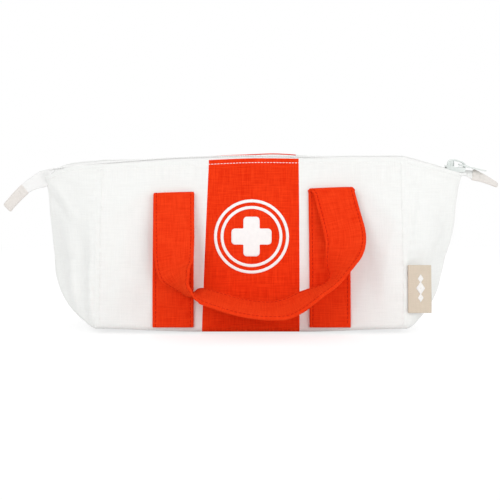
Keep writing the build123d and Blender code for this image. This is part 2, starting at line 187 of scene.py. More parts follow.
ripple = {"seed": 11, "count": 26, "shortest": 28, "longest": 120}
gather = {"peak": 3.0, "wander": 1.3, "drift": 9.0}  # distance from the stitches, unevenness and its length
rng = np.random.default_rng(ripple["seed"])
waves = []
for _ in range(ripple["count"]):  # length, turn and phase of each wave
    length = rng.uniform(ripple["shortest"], ripple["longest"])
    waves.append((length, rng.uniform(0, math.pi), rng.uniform(0, 2 * math.pi)))


def softness(a, b, seed):  # sum of long waves in seeded directions: slack cloth is never even
    total = np.zeros(np.broadcast(a, b).shape)
    for i, (length, turn, phase) in enumerate(waves):
        along = a * math.cos(turn + seed) + b * math.sin(turn + seed)
        high = math.sqrt(length / ripple["longest"])
        total += high * np.sin(2 * math.pi * along / length + phase * (1 + seed) + i)
    return total / math.sqrt(len(waves))


def fold(a, b, place):  # straight soft ridge: place, turn, half length, half width, height
    x, z, turn, long, wide, high = place
    c, s = math.cos(math.radians(turn)), math.sin(math.radians(turn))
    along, across = (a - x) * c + (b - z) * s, -(a - x) * s + (b - z) * c
    return high * bump(along, long) * bump(across, wide)


def pucker(d, along, length, phase):  # little gathers that fade away from a row of stitches
    near = d / gather["peak"]
    wander = phase + gather["wander"] * np.sin(along / gather["drift"])
    return near * np.exp(1 - near) * np.sin(2 * math.pi * along / length + wander)


# x, z, turn, half length, half width, height of the walls' folds
wallFolds = {
    front: [
        (-96, 40, 84, 34, 5, 0.7), (-88, 96, 38, 20, 5, 0.8), (-80, 20, 78, 20, 6, -0.7),
        (-37, 60, 88, 40, 4.5, -0.9), (96, 92, -48, 24, 6, 0.9), (88, 30, 96, 26, 6, -0.8),
        (100, 60, 80, 26, 5, 0.6), (84, 108, -8, 20, 4, -0.5), (-100, 112, 6, 16, 4, -0.5),
        (0, 22, 4, 30, 7, -0.8), (14, 112, 2, 30, 5, -0.4), (38, 50, 92, 34, 4, -0.7),
    ],
    back: [
        (-92, 50, 80, 34, 6, 0.9), (-85, 100, 30, 22, 5, 0.8), (92, 84, -40, 26, 6, 1.0),
        (88, 28, 92, 26, 6, -0.8), (-37, 60, 90, 40, 4.5, -0.8), (38, 58, 88, 36, 4.5, -0.8),
        (0, 70, 12, 30, 8, 0.9),
    ],
}
# distance from the seam, z, turn, half length, half width, height of the ends' folds
endFolds = {
    (left, front): [
        (4.5, 34, 88, 42, 3.2, 1.4), (11.5, 32, 84, 36, 4.2, -1.9), (19, 30, 76, 30, 4, 1.0),
        (30, 98, 52, 14, 3.4, 1.3), (36, 92, 46, 14, 3.0, -1.2), (22, 104, 30, 12, 3.6, -0.8),
        (24, 60, 70, 26, 7, 1.0), (34, 42, 60, 16, 5, -0.9),
    ],
    (right, front): [
        (5, 86, 80, 26, 3.2, 0.9), (18, 92, -42, 22, 3.2, -1.0), (26, 84, -44, 22, 3.4, 1.1),
        (34, 76, -48, 18, 3.4, -1.1), (14, 62, -36, 18, 4.5, 0.9), (30, 58, 64, 18, 4.5, -0.9),
        (22, 106, -20, 14, 3, 0.7),
    ],
    (left, back): [
        (5, 40, 86, 40, 3.4, 1.1), (14, 60, 80, 30, 5, -1.1), (28, 90, 50, 16, 4, 1.1),
        (32, 52, 62, 18, 5, -0.8),
    ],
    (right, back): [
        (5, 44, 92, 38, 3.4, 1.1), (16, 70, 70, 26, 5, -1.0), (28, 94, 44, 16, 4, 1.0),
        (30, 50, 60, 18, 5, 0.8),
    ],
}
slack = {
    "wall": 0.55, "end": 0.5, "endFold": 1.35,  # heights of the long waves and of the ends' folds
    # they fade in from a seam, from the upper edge and from a height above the base over another
    "wallFade": (9, 16, (3, 16)), "endFade": (3, 12, (3, 12)), "endMiddle": 8,
    # height and length of the gathers
    "seamPucker": (0.22, 8.0), "topPucker": (0.16, 7.0), "endPucker": (0.25, 7.5), "puckerFoot": (4, 10),
    "hem": 0.55, "hemEnd": 5.6, "hemSoft": 1.2,  # a turned hem lies doubled near the edge
    "rowDepth": 0.32, "rowWidth": 0.7,  # the groove that the topstitching pulls in
    "seamDip": 0.3, "seamWidth": 1.6, "dipFoot": (2, 6),
    "bandDip": 0.6,  # the band's seams sink by a share of the others'
}
topstitch = {"down": 3.0, "pitch": 2.3, "length": 2.05, "radius": 0.26}
strap = {
    "width": 30.0,
    "thick": 2.4,
    "legX": 57.0,  # the legs run up the wall and go over into the loop in a half turn, the fold
    "legBottom": 5.4,
    "legTop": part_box("front_strap_leg_left")[1][2] / mm,
    "foldDrop": (2.3, -0.5),  # how far below legTop the left and the right fold start
    "foldTilt": (0.045, 0.06),  # slope across the width there
    "tiltStart": (0.3, 30),  # share of the tilt at the foot of a fold, and length of the leg that has it
    "level": 16.0,  # length over which the loop's width comes square to its run
    "lean": 0.2,
    "gap": 0.1,
    "edge": 0.9,
    "stitchIn": 2.4,
    # the faces sink at the stitching and are a little full in the middle: height and half width
    "dent": (0.2, 0.45),
    "crown": (0.12, 9),
    "press": (5, 6, 8),  # how far beside the legs the wall lies flat, the fade there, and the fade above them
    "threadIn": 0.25,
    "settle": 26.0,  # length of the loop over which it takes on the fold's drop and tilt
    "stretch": 0.945,  # shortest width that is still drawn out to the full one
    "step": 0.8,
    "thread": {"pitch": 3.1, "length": 2.5, "radius": 0.24},
}


def hemRelief(top):  # doubled cloth near the edge, pulled in along its stitching, by distance from the edge
    doubled = slack["hem"] * smooth((slack["hemEnd"] - top) / slack["hemSoft"])
    return doubled - slack["rowDepth"] * bump(top - topstitch["down"], slack["rowWidth"])


def above(z, foot):  # grows from 0 to 1 from one height above the base over another
    return smooth((z - foot[0]) / foot[1])


def fadeIn(fade, seam, top, z):  # 0 on a seam, at the upper edge and by the base, 1 well inside the cloth
    return smooth(seam / fade[0]) * smooth(top / fade[1]) * above(z, fade[2])


def wallRelief(x, z, side):
    # out of the plain curve: waves and folds that fade at the seams, gathers along the stitches, and the hem
    top = archZ(x) - z
    seam = bag["seamX"] - np.abs(x)
    nearest = np.minimum(seam, np.abs(np.abs(x) - bag["bandX"]))
    beside, fading, over = strap["press"]
    free = 1 - (
        smooth((strap["width"] / 2 + beside - np.abs(np.abs(x) - strap["legX"])) / fading)
        * smooth((strap["legTop"] + over - z) / over)
    )
    relief = slack["wall"] * softness(x, z, 0.7 * side) + sum(fold(x, z, f) for f in wallFolds[side])
    relief = relief * fadeIn(slack["wallFade"], nearest, top, z) * free
    high, length = slack["seamPucker"]
    relief += high * pucker(seam, z, length, side) * above(z, slack["puckerFoot"])
    high, length = slack["topPucker"]
    relief += high * pucker(np.maximum(top - topstitch["down"], 0), x, length, 2 * side) * free
    return relief + hemRelief(top)


def endRelief(d, z, top, run, end, side):
    # the same for an end, by distance from its seam along its run, calm at the middle of the end
    middle = smooth((run - d) / slack["endMiddle"])
    relief = slack["end"] * softness(d + 60 * end, z, 0.4 * end + side)
    relief = relief + slack["endFold"] * sum(fold(d, z, f) for f in endFolds[(end, side)])
    relief = relief * fadeIn(slack["endFade"], d, top, z) * middle
    high, length = slack["endPucker"]
    relief += high * pucker(d, z, length, end) * above(z, slack["puckerFoot"]) * middle
    return relief + hemRelief(top) * smooth((run - d) / 6)


def seamDip(d):  # both sheets turn in at a seam, along Y alike
    return -slack["seamDip"] * bump(d, slack["seamWidth"])


def settle(p):  # the soft base lifts: a rise along X that fades with Z, and the same along Y
    lift = np.zeros(p.shape[:-1])
    for axis, (high, start, run, topZ) in enumerate(bag["lifts"]):
        lift += high * smooth((np.abs(p[..., axis]) - start) / run) * (1 - smooth(p[..., 2] / topZ))
    return p + lift[..., None] * np.array([0, 0, 1])


def gridNormals(p):  # cross product of the two directions of a grid, unit length
    n = np.cross(np.gradient(p, axis=0), np.gradient(p, axis=1))
    return n / np.maximum(np.linalg.norm(n, axis=-1, keepdims=True), 1e-9)


def rowHeights(top, rows, roundRows):  # rows round the bottom edge, then up to each column's top
    a = np.linspace(0, math.pi / 2, roundRows, endpoint=False)[:, None] * np.ones_like(top)
    r = bag["bottomRound"]
    t = np.linspace(0, 1, rows)[:, None]
    z = np.concatenate([r * (1 - np.cos(a)), r + t * (top - r)])
    inset = np.concatenate([r * (1 - np.sin(a)), np.zeros((rows, top.shape[-1]))])
    return z, inset


def wallShape(x, z, inset, side, depth=0.0):  # plain wall plus relief along the normal, depth inwards
    p = np.stack([x, side * (halfDepth(z) - inset), z], axis=-1)
    rise = wallRelief(x, z, side) * (inset < 0.01) - depth * smooth(z / 3)
    p = p + wallNormal(x, z, side) * rise[..., None]
    dip = seamDip(bag["seamX"] - np.abs(x))
    for end in (left, right):
        dip = dip + slack["bandDip"] * seamDip(x - bandSeam(z, side, end))
    p[..., 1] += side * dip * above(z, slack["dipFoot"])
    p[..., 2] += hemLift(x, z, archZ(x), side)
    return settle(p)


def endPlan(q, z, inset, end):
    # plan of an end at a height, by share q of its run: straight side with a sine bulge that meets a round
    # corner at its tangent, the corner's arc, then half the flat facet across the end
    share = np.clip(z / bag["shoulderZ"], 0, 1)
    r = bag["cornerRadius"] + (bag["foldRadius"] - bag["cornerRadius"]) * share
    cx = endReach(z, end) - r
    facet = bag["foldRadius"] + (bag["baseY"] - bag["foldRadius"]) * (1 - share)
    cy = np.maximum(facet - r, 0.1)
    r = r - inset
    sideY = halfDepth(z) - inset
    lean = np.arctan2(sideY - cy, bag["seamX"] - cx)
    start = lean - np.arccos(np.clip(r / np.hypot(bag["seamX"] - cx, sideY - cy), -1, 1))
    runX, runY = cx + r * np.cos(start) - bag["seamX"], cy + r * np.sin(start) - sideY
    flat = np.hypot(runX, runY)
    arc = r * start
    length = flat + arc + cy
    s = q * length
    turn = np.clip(start - (s - flat) / r, 0, 7)
    t = np.clip(s / flat, 0, 1)
    full = bag["endBulge"] * smooth(z / bag["bulgeFoot"]) * smooth((bag["bulgeTop"] - z) / bag["bulgeFade"])
    full = full * np.sin(math.pi * t) ** 2 / np.maximum(flat, 1)
    x = np.where(s < flat, bag["seamX"] + runX * t - full * runY, cx + r * np.cos(turn))
    y = np.where(s < flat, sideY + runY * t + full * runX, cy + r * np.sin(turn))
    y = np.where(s > flat + arc, cy - (s - flat - arc), y)
    return x, y, s, length


def endShape(grid, end, side, depth=0.0, drop=0.0):
    # one half of an end: columns go from the seam to the middle, rows from the base up
    columns, rows, roundRows = grid
    q = np.linspace(0, 1, columns)
    top = endTopZ(bag["seamX"] + (bag["tipX"] - bag["seamX"]) * np.sin(q * math.pi / 2) ** 0.8) - drop
    for _ in range(4):  # a column's height and its X depend on each other
        x = endPlan(q, top, 0, end)[0]
        top = endTopZ(np.minimum(x, bag["tipX"])) - drop
    z, inset = rowHeights(top, rows, roundRows)
    x, y, s, length = endPlan(q[None, :] * np.ones_like(z), z, inset, end)
    p = np.stack([end * x, side * y, z], axis=-1)
    n = gridNormals(p) * end * side
    edge = z[-1:, :] + drop
    rise = endRelief(s, z, edge - z, length, end, side) * (inset < 0.01)
    p = p + n * (rise - depth * smooth(z / 3))[..., None]
    p[..., 1] += side * seamDip(s) * above(z, slack["dipFoot"])
    p[..., 2] += hemLift(end * x, z, edge, side)
    share = (1 - smooth(s / (bag["openShare"] * length))) * smooth(z / bag["bendFoot"])
    return settle(p), s, share


# Meshes

def meshPiece(name, verts, faces, material, uvs=None):
    mesh = bpy.data.meshes.new(name)
    mesh.from_pydata(verts.reshape(-1, 3) * mm, [], faces)
    if uvs is not None:
        layer = mesh.uv_layers.new(name="cloth")
        corner = np.zeros(len(mesh.loops), np.int32)
        mesh.loops.foreach_get("vertex_index", corner)
        layer.data.foreach_set("uv", (uvs.reshape(-1, 2) * mm)[corner].astype(np.float32).ravel())
    mesh.polygons.foreach_set("use_smooth", np.ones(len(mesh.polygons), bool))
    mesh.materials.append(material)
    piece = bpy.data.objects.new(name, mesh)
    bpy.context.scene.collection.objects.link(piece)
    mesh.update()
    return piece


def thicken(piece, thickness):  # cloth or ink of a thickness, inwards from the outer face
    solid = piece.modifiers.new("thickness", "SOLIDIFY")
    solid.thickness = thickness * mm
    solid.offset = -1


def gridFaces(rows, columns, closeRows=False, closeColumns=False, flip=False):  # quads of a grid
    i = np.arange(rows if closeRows else rows - 1)
    j = np.arange(columns if closeColumns else columns - 1)
    i, j = np.meshgrid(i, j, indexing="ij")
    i2, j2 = (i + 1) % rows, (j + 1) % columns
    quads = np.stack([i * columns + j, i * columns + j2, i2 * columns + j2, i2 * columns + j], axis=-1)
    quads = quads.reshape(-1, 4)
    return (quads[:, ::-1] if flip else quads).tolist()


def tubeFaces(count, size, flip=False):  # sides and both end faces of a tube of rings
    ends = [list(reversed(range(size))), [(count - 1) * size + k for k in range(size)]]
    return gridFaces(count, size, closeColumns=True, flip=flip) + [f[::-1] if flip else f for f in ends]


def tubeGrid(path, normal, across, profile):
    # carried along a path: point + across * u + normal * v, with one profile of u and v or one for each point
    return path[:, None, :] + across[:, None, :] * profile[..., :1] + normal[:, None, :] * profile[..., 1:]


def sheetPiece(name, p, uv, flip, material, thickness):
    # a grid of cloth given by its outer face; its rim is a sharp edge
    rows, columns = p.shape[:2]
    piece = meshPiece(name, p, gridFaces(rows, columns, flip=flip), material, uv)
    ends = np.zeros(len(piece.data.edges) * 2, np.int32)
    piece.data.edges.foreach_get("vertices", ends)
    row, column = divmod(ends.reshape(-1, 2), columns)
    rim = np.zeros(len(ends) // 2, bool)
    for line, last in ((row, rows - 1), (column, columns - 1)):
        rim |= (line[:, 0] == line[:, 1]) & ((line[:, 0] == 0) | (line[:, 0] == last))
    piece.data.attributes.new("sharp_edge", "BOOLEAN", "EDGE").data.foreach_set("value", rim)
    thicken(piece, thickness)
    return piece


def bendWith(piece):
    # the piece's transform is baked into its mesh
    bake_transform(piece)


# Materials

def socket(group, name, kind, default=None, output=False):
    item = group.interface.new_socket(name=name, in_out="OUTPUT" if output else "INPUT", socket_type=kind)
    if default is not None:
        item.default_value = default


class Graph:  # short hand for nodes: each input gets a value, or the output that feeds it
    def __init__(self, tree):
        self.tree = tree

    def give(self, node, key, value):
        if isinstance(value, bpy.types.NodeSocket):
            self.tree.links.new(value, node.inputs[key])
        else:
            node.inputs[key].default_value = value

    def add(self, kind, given=None, **settings):
        node = self.tree.nodes.new(kind)
        for key, value in settings.items():
            setattr(node, key, value)
        for key, value in (given or {}).items():
            self.give(node, key, value)
        return node

    def math(self, operation, *values, clamp=False):
        node = self.add("ShaderNodeMath", dict(enumerate(values)), operation=operation, use_clamp=clamp)
        return node.outputs[0]

    def noise(self, vector, scale, detail=2.0, rough=0.5):
        given = {"Vector": vector, "Scale": scale, "Detail": detail, "Roughness": rough}
        return self.add("ShaderNodeTexNoise", given).outputs["Fac"]

    def stretched(self, vector, sx, sy):
        return self.add("ShaderNodeMapping", {"Vector": vector, "Scale": (sx, sy, 1)}).outputs["Vector"]

    def mix(self, factor, a, b):
        return self.add("ShaderNodeMix", {0: factor, 6: a + (1,), 7: b + (1,)}, data_type="RGBA").outputs[2]


def weaveGroup():
    # plain weave: the sines of X and of Y are warp and weft ridges, and the sign of their product says which
    # is on top; slubs are noise drawn out along single threads; the tone adds slubs, wide patches and the
    # ridges as painted shade, lighter on the threads' crowns and darker in the grooves between them
    tree = bpy.data.node_groups.new("plainWeave", "ShaderNodeTree")
    socket(tree, "Cloth", "NodeSocketVector")
    socket(tree, "Pitch", "NodeSocketFloat", 0.0007)
    socket(tree, "Slub", "NodeSocketFloat", 0.5)
    socket(tree, "Height", "NodeSocketFloat", output=True)
    socket(tree, "Tone", "NodeSocketFloat", output=True)
    g = Graph(tree)
    cloth, pitch, slub = g.add("NodeGroupInput").outputs[:3]
    wander = g.math("MULTIPLY", g.math("SUBTRACT", g.noise(cloth, 90, 1), 0.5), 0.0016)
    parts = g.add("ShaderNodeSeparateXYZ", {0: cloth})
    threads = []
    for axis in (0, 1):
        shifted = g.math("DIVIDE", g.math("ADD", parts.outputs[axis], wander), pitch)
        threads.append(g.math("SINE", g.math("MULTIPLY", shifted, math.pi)))
    over = g.math("SIGN", g.math("MULTIPLY", *threads))
    ridges = []
    for thread, share in zip(threads, (0.2, -0.2)):
        onTop = g.math("MULTIPLY_ADD", over, share, 0.8)
        ridges.append(g.math("MULTIPLY", g.math("ABSOLUTE", thread), onTop))
    ridge = g.math("MAXIMUM", *ridges)
    slubs = [g.noise(g.stretched(cloth, sx, sy), 1.0, 2, 0.6) for sx, sy in ((1150, 70), (70, 1150))]
    slubs = g.math("MULTIPLY", g.math("SUBTRACT", g.math("ADD", *slubs), 1.0), slub)
    patches = g.math("SUBTRACT", g.noise(cloth, 45, 3), 0.5)
    height = g.math("ADD", ridge, g.math("MULTIPLY", slubs, 1.6))
    tone = g.math("ADD", g.math("MULTIPLY", slubs, 2.4), g.math("MULTIPLY", patches, 0.35))
    # painted shade: the ridges' height lightens the crowns and darkens the grooves in the colour tone
    tone = g.math("ADD", tone, g.math("MULTIPLY", g.math("SUBTRACT", ridge, 0.6), 0.5))
    g.add("NodeGroupOutput", {"Height": height, "Tone": g.math("ADD", tone, 0.5, clamp=True)})
    return tree


def fuzzGroup():  # lint and tiny creases: coarse noise plus half of a fine noise, by object coordinates
    tree = bpy.data.node_groups.new("fuzz", "ShaderNodeTree")
    socket(tree, "Place", "NodeSocketVector")
    socket(tree, "Height", "NodeSocketFloat", output=True)
    g = Graph(tree)
    place = g.add("NodeGroupInput").outputs[0]
    small = g.math("MULTIPLY", g.noise(place, 1500, 3, 0.7), 0.5)
    g.add("NodeGroupOutput", {"Height": g.math("ADD", small, g.noise(place, 160, 3))})
    return tree


weave = weaveGroup()
fuzz = fuzzGroup()


def newMaterial(name, inputs):  # a material with its graph and its shader
    material = bpy.data.materials.new(name)
    material.use_nodes = True
    g = Graph(material.node_tree)
    shader = material.node_tree.nodes["Principled BSDF"]
    for key, value in inputs.items():
        g.give(shader, key, value)
    return material, g, shader


def addBump(g, shader, height, strength, distance):  # the height tilts the shading only
    relief = g.add("ShaderNodeBump", {"Height": height, "Strength": strength, "Distance": distance})
    g.give(shader, "Normal", relief.outputs[0])


def clothMaterial(name, dark, light, pitch, slub, bumpHeight, sheen=0.25, tint=(1, 1, 1)):
    # colour runs from dark to light with the weave's tone, which includes painted shade in the weave's
    # grooves; bump is the weave's height plus lint
    material, g, shader = newMaterial(name, {
        "Roughness": 0.9, "Sheen Weight": sheen, "Sheen Roughness": 0.6, "Sheen Tint": tint + (1,),
        "Specular IOR Level": 0.15 * tint[2],
    })
    uv = g.add("ShaderNodeUVMap", uv_map="cloth").outputs[0]
    woven = g.add("ShaderNodeGroup", node_tree=weave)
    for key, value in {"Pitch": pitch * mm, "Slub": slub, "Cloth": uv}.items():
        g.give(woven, key, value)
    lint = g.add("ShaderNodeGroup", node_tree=fuzz)
    g.give(lint, "Place", g.add("ShaderNodeTexCoord").outputs["Object"])
    g.give(shader, "Base Color", g.mix(woven.outputs["Tone"], dark, light))
    height = g.math("ADD", woven.outputs["Height"], g.math("MULTIPLY", lint.outputs["Height"], 0.8))
    addBump(g, shader, height, 0.6, bumpHeight * mm)
    return material


def plainMaterial(name, color, rough, inputs=None):
    # smooth finish: one noise takes a tenth off the colour and spreads the roughness by 0.08 each way
    material, g, shader = newMaterial(name, inputs or {})
    grain = g.noise(g.add("ShaderNodeTexCoord").outputs["Object"], 420, 3)
    g.give(shader, "Base Color", g.mix(grain, tuple(c * 0.9 for c in color), color))
    g.give(shader, "Roughness", g.math("MULTIPLY_ADD", grain, 0.16, rough - 0.08))
    addBump(g, shader, grain, 0.15, 0.1 * mm)
    return material


redSheen = {"sheen": 0.12, "tint": (1, 0.3, 0.06)}
whiteCotton = clothMaterial("whiteCotton", (0.79, 0.798, 0.782), (0.845, 0.853, 0.836), 0.62, 0.55, 0.10)
redCotton = clothMaterial("redCotton", (0.66, 0.016, 0.002), (0.88, 0.05, 0.009), 0.7, 0.55, 0.12, **redSheen)
redWebbing = clothMaterial(
    "redWebbing", (0.68, 0.018, 0.002), (0.88, 0.055, 0.011), 0.66, 0.5, 0.12, **redSheen,
)
liningCotton = clothMaterial("liningCotton", (0.76, 0.75, 0.71), (0.84, 0.83, 0.79), 0.5, 0.3, 0.06)
tapeCloth = clothMaterial("tapeCloth", (0.80, 0.80, 0.79), (0.87, 0.87, 0.86), 0.45, 0.15, 0.08)
tabCloth = clothMaterial("tabCloth", (0.70, 0.66, 0.62), (0.80, 0.765, 0.73), 0.6, 0.4, 0.12)
labelCloth = clothMaterial("labelCloth", (0.55, 0.47, 0.37), (0.69, 0.60, 0.49), 0.3, 0.25, 0.05, sheen=0.1)
printInk = plainMaterial("printInk", (0.90, 0.895, 0.885), 0.75)
whiteThread = plainMaterial("whiteThread", (0.90, 0.90, 0.89), 0.65)
redThread = plainMaterial("redThread", (0.58, 0.012, 0.003), 0.8, {"Specular IOR Level": 0.05})
nylon = plainMaterial("nylon", (0.92, 0.92, 0.91), 0.38)
enamel = plainMaterial("enamel", (0.72, 0.76, 0.74), 0.3, {"Coat Weight": 0.4, "Coat Roughness": 0.2})
whiteWoven = plainMaterial("whiteWoven", (0.86, 0.85, 0.83), 0.8)
print("materials made")


# Walls. A sheet's edge is a plain X, or an end of the band, whose seams lean

def edgeX(edge, z, side):
    return bandSeam(z, side, edge) if edge in (left, right) else edge + 0 * z


def wallSheet(name, x0, x1, side, material, layer):
    low, high = (edgeX(edge, bag["topZ"], side) for edge in (x0, x1))
    t = np.linspace(0, 1, int((high - low) / layer["cell"]) + 1)
    top = archZ(low + (high - low) * t) - layer["drop"]
    z, inset = rowHeights(top, int(bag["topZ"] / layer["cell"]), bag["roundRows"])
    start, stop = (edgeX(edge, z, side) for edge in (x0, x1))
    x = start + (stop - start) * t
    p = wallShape(x, z, inset, side, layer["depth"])
    uv = np.stack([x + 200 * side, z + 8], axis=-1)
    piece = sheetPiece(name, p, uv, side == back, material, layer["cloth"])
    bendWith(piece)
    return piece


for side in (front, back):
    wall = sideNames[side]
    seam = bag["seamX"]
    panels = (
        (f"{wall}_panel_left", -seam, left, whiteCotton, "white"),
        (f"{wall}_band", left, right, redCotton, "red"),
        (f"{wall}_panel_right", right, seam, whiteCotton, "white"),
    )
    for node, x0, x1, material, slot in panels:
        piece = wallSheet(node + ".cloth", x0, x1, side, material, shell)
        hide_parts(node)
    piece = wallSheet(f"{wall}_lining.cloth", -seam, seam, side, liningCotton, lining)
    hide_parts(f"{wall}_lining")
print("walls made")


# Boxed ends

for end in (left, right):
    for side in (front, back):
        name = f"{endNames[end]}_gusset_{sideNames[side]}"
        outwards = end * side > 0
        p, s, share = endShape(shell["endGrid"], end, side)
        uv = np.stack([s + 300 * end, p[..., 2] + 8], axis=-1)
        piece = sheetPiece(name + ".cloth", p, uv, outwards, whiteCotton, shell["cloth"])
        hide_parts(f"{endNames[end]}_gusset")
        bendWith(piece)
        p, s, share = endShape(lining["endGrid"], end, side, lining["depth"], lining["drop"])
        uv = np.stack([s, p[..., 2]], axis=-1)
        piece = sheetPiece(name + ".lining", p, uv, outwards, liningCotton, lining["cloth"])
        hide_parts(f"{endNames[end]}_gusset_lining")
        bendWith(piece)
print("ends made")


# Base

def baseEdge(y, inset):  # how far the footprint reaches along X at a distance across
    q = np.linspace(0, 1, 400)
    x, edgeY, _, _ = endPlan(q, 0 * q, inset + 0 * q, right)
    return np.interp(np.abs(y), edgeY[::-1], x[::-1])


def baseSheet(name, x0, x1, material, z, inset, thickness):
    # a seam of the base runs from the front wall's seam to the back wall's
    half = bag["baseY"] - inset
    y = np.linspace(-half, half, 61)
    edge = baseEdge(y, inset)
    behind = (y / half + 1) / 2
    start, stop = (edgeX(e, 0 * y, front) * (1 - behind) + edgeX(e, 0 * y, back) * behind for e in (x0, x1))
    start, stop = np.maximum(start, -edge), np.minimum(stop, edge)
    x = start + (stop - start) * np.linspace(0, 1, 50)[:, None]
    y = y + 0 * x
    p = settle(np.stack([x, y, z + 0 * x], axis=-1))
    piece = sheetPiece(name, p, np.stack([x, y], axis=-1), False, material, thickness)
    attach(piece, "root")
    return piece


beyond = bag["baseX"] + 5  # past the footprint, so that its outline cuts the sheet
for node, x0, x1, material, slot in (
    ("base_left", -beyond, left, whiteCotton, "white"),
    ("base_band", left, right, redCotton, "red"),
    ("base_right", right, beyond, whiteCotton, "white"),
):
    piece = baseSheet(node + ".cloth", x0, x1, material, 0.0, bag["bottomRound"], shell["cloth"])
    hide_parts(node)
piece = baseSheet(
    "base_lining.cloth", -beyond, beyond, liningCotton,
    lining["baseZ"], lining["baseInset"], lining["cloth"],
)
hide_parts("base_lining")
print("base made")


# Stitches: six-sided capsules. Each ring has a place along, a size and a lift; two quads close each end

stitch = {
    "sides": 6,
    "sink": 0.3,
    "reach": 0.3,  # distance to each side where a stitch reads its own direction
    "rings": (
        (-0.5, 0.15, -0.7), (-0.42, 0.8, -0.3), (-0.2, 1, 0.35),
        (0.2, 1, 0.35), (0.42, 0.8, -0.3), (0.5, 0.15, -0.7),
    ),
    "caps": [[3, 4, 5, 0], [1, 2, 3, 0], [33, 32, 31, 30], [35, 34, 33, 30]],
}


def stitchRow(points, normals, share, thread):
    # capsules laid along a line on the cloth: vertices, faces and each vertex's share
    length, radius = thread["length"], thread["radius"]
    run = runOf(points)
    count = int(run[-1] / thread["pitch"])
    middle = (np.arange(count) + 0.5) * thread["pitch"]

    def at(values, s):
        return np.stack([np.interp(s, run, values[:, k]) for k in range(3)], axis=-1)

    t = unit(at(points, middle + stitch["reach"]) - at(points, middle - stitch["reach"]))
    n = unit(at(normals, middle))
    b = np.cross(t, n)
    angles = (np.arange(stitch["sides"]) * 2 * math.pi / stitch["sides"])[None, :, None]
    circle = np.cos(angles) * b[:, None, :] + np.sin(angles) * n[:, None, :]
    verts = []
    for along, size, lift in stitch["rings"]:
        centre = at(points, middle) + t * along * length + n * radius * (lift + 1 - 2 * stitch["sink"])
        verts.append(centre[:, None, :] + circle * radius * size)
    verts = np.concatenate(verts, axis=1)
    sides = gridFaces(len(stitch["rings"]), stitch["sides"], closeColumns=True, flip=True)
    faces = np.array(sides + stitch["caps"]) + (np.arange(count) * verts.shape[1])[:, None, None]
    share = np.repeat(np.interp(middle, run, share), verts.shape[1])
    return verts.reshape(-1, 3), faces.reshape(-1, 4), share


def stitchPiece(name, rows, thread, material):
    # rows of points, normals and shares in one mesh; also gives each vertex's share
    verts, faces, shares, base = [], [], [], 0
    for row in rows:
        v, f, along = stitchRow(*row, thread)
        verts.append(v)
        faces += (f + base).tolist()
        base += len(v)
        shares.append(along)
    return meshPiece(name, np.concatenate(verts), faces, material), np.concatenate(shares)


def wallLine(x, z, side, lift=0.0):  # points and normals of a line drawn on a wall
    x, z = np.broadcast_arrays(np.asarray(x, float), np.asarray(z, float))
    return wallShape(x, z, 0 * x, side, -lift), wallNormal(x, z, side)


for side in (front, back):
    wall = sideNames[side]
    x = np.linspace(-bag["seamX"] + 0.6, bag["seamX"] - 0.6, 300)
    rows = [wallLine(x, archZ(x) - topstitch["down"], side) + (np.ones(len(x)),)]
    z = np.linspace(3, archZ(bag["seamX"]) - 1, 160)
    for end in (left, right):
        points, normals = wallLine(end * (bag["seamX"] - topstitch["down"]), z, side)
        rows.append((points, normals, smooth(z / bag["bendFoot"])))
    piece, share = stitchPiece(f"{wall}_topstitching", rows, topstitch, whiteThread)
    bendWith(piece)
    for end in (left, right):
        p, s, share = endShape((90, 92, 5), end, side)
        n = gridNormals(p) * end * side
        rows = [(p[-3, :-3], n[-3, :-3], share[-3, :-3])]  # third row from the edge
        name = f"{endNames[end]}_topstitching_{wall}"
        piece, share = stitchPiece(name, rows, topstitch, whiteThread)
        bendWith(piece)
print("stitches made")


# Zip

zipper = {
    "tape": 0.6,  # thickness
    "inner": 0.5,
    "bend": 5.3,  # distance from the middle where the tape starts to rise or fall to the fabric
    "outer": 7.6,
    "rimIn": 1.0,  # how far inside and below the fabric's edge the tape is sewn on
    "rimDown": 1.3,
    "narrowest": 0.7,
    "foot": 0.1,
    "coilY": 1.8,
    "coilWide": 1.55,
    "coilHigh": 0.85,
    "wire": 0.36,
    "wireSides": 5,
    "pitch": 1.3,
    "turnSteps": 14,
    "end": {left: 151.5, right: 160.5},
}


def hemLine(side):  # the fabric's upper edge from one end to the other: X, distance from the middle plane, Z
    x = np.linspace(-bag["seamX"], bag["seamX"], 120)
    lines = [wallShape(x, archZ(x), 0 * x, side)]
    for end in (left, right):
        edge = endShape((60, 30, 5), end, side)[0][-1]
        lines.append(edge[np.abs(edge[:, 1]) > 2.5])
    line = np.concatenate([lines[1][::-1], lines[0], lines[2]])
    line = line[np.argsort(line[:, 0])]
    return line[:, 0], np.abs(line[:, 1]), line[:, 2]


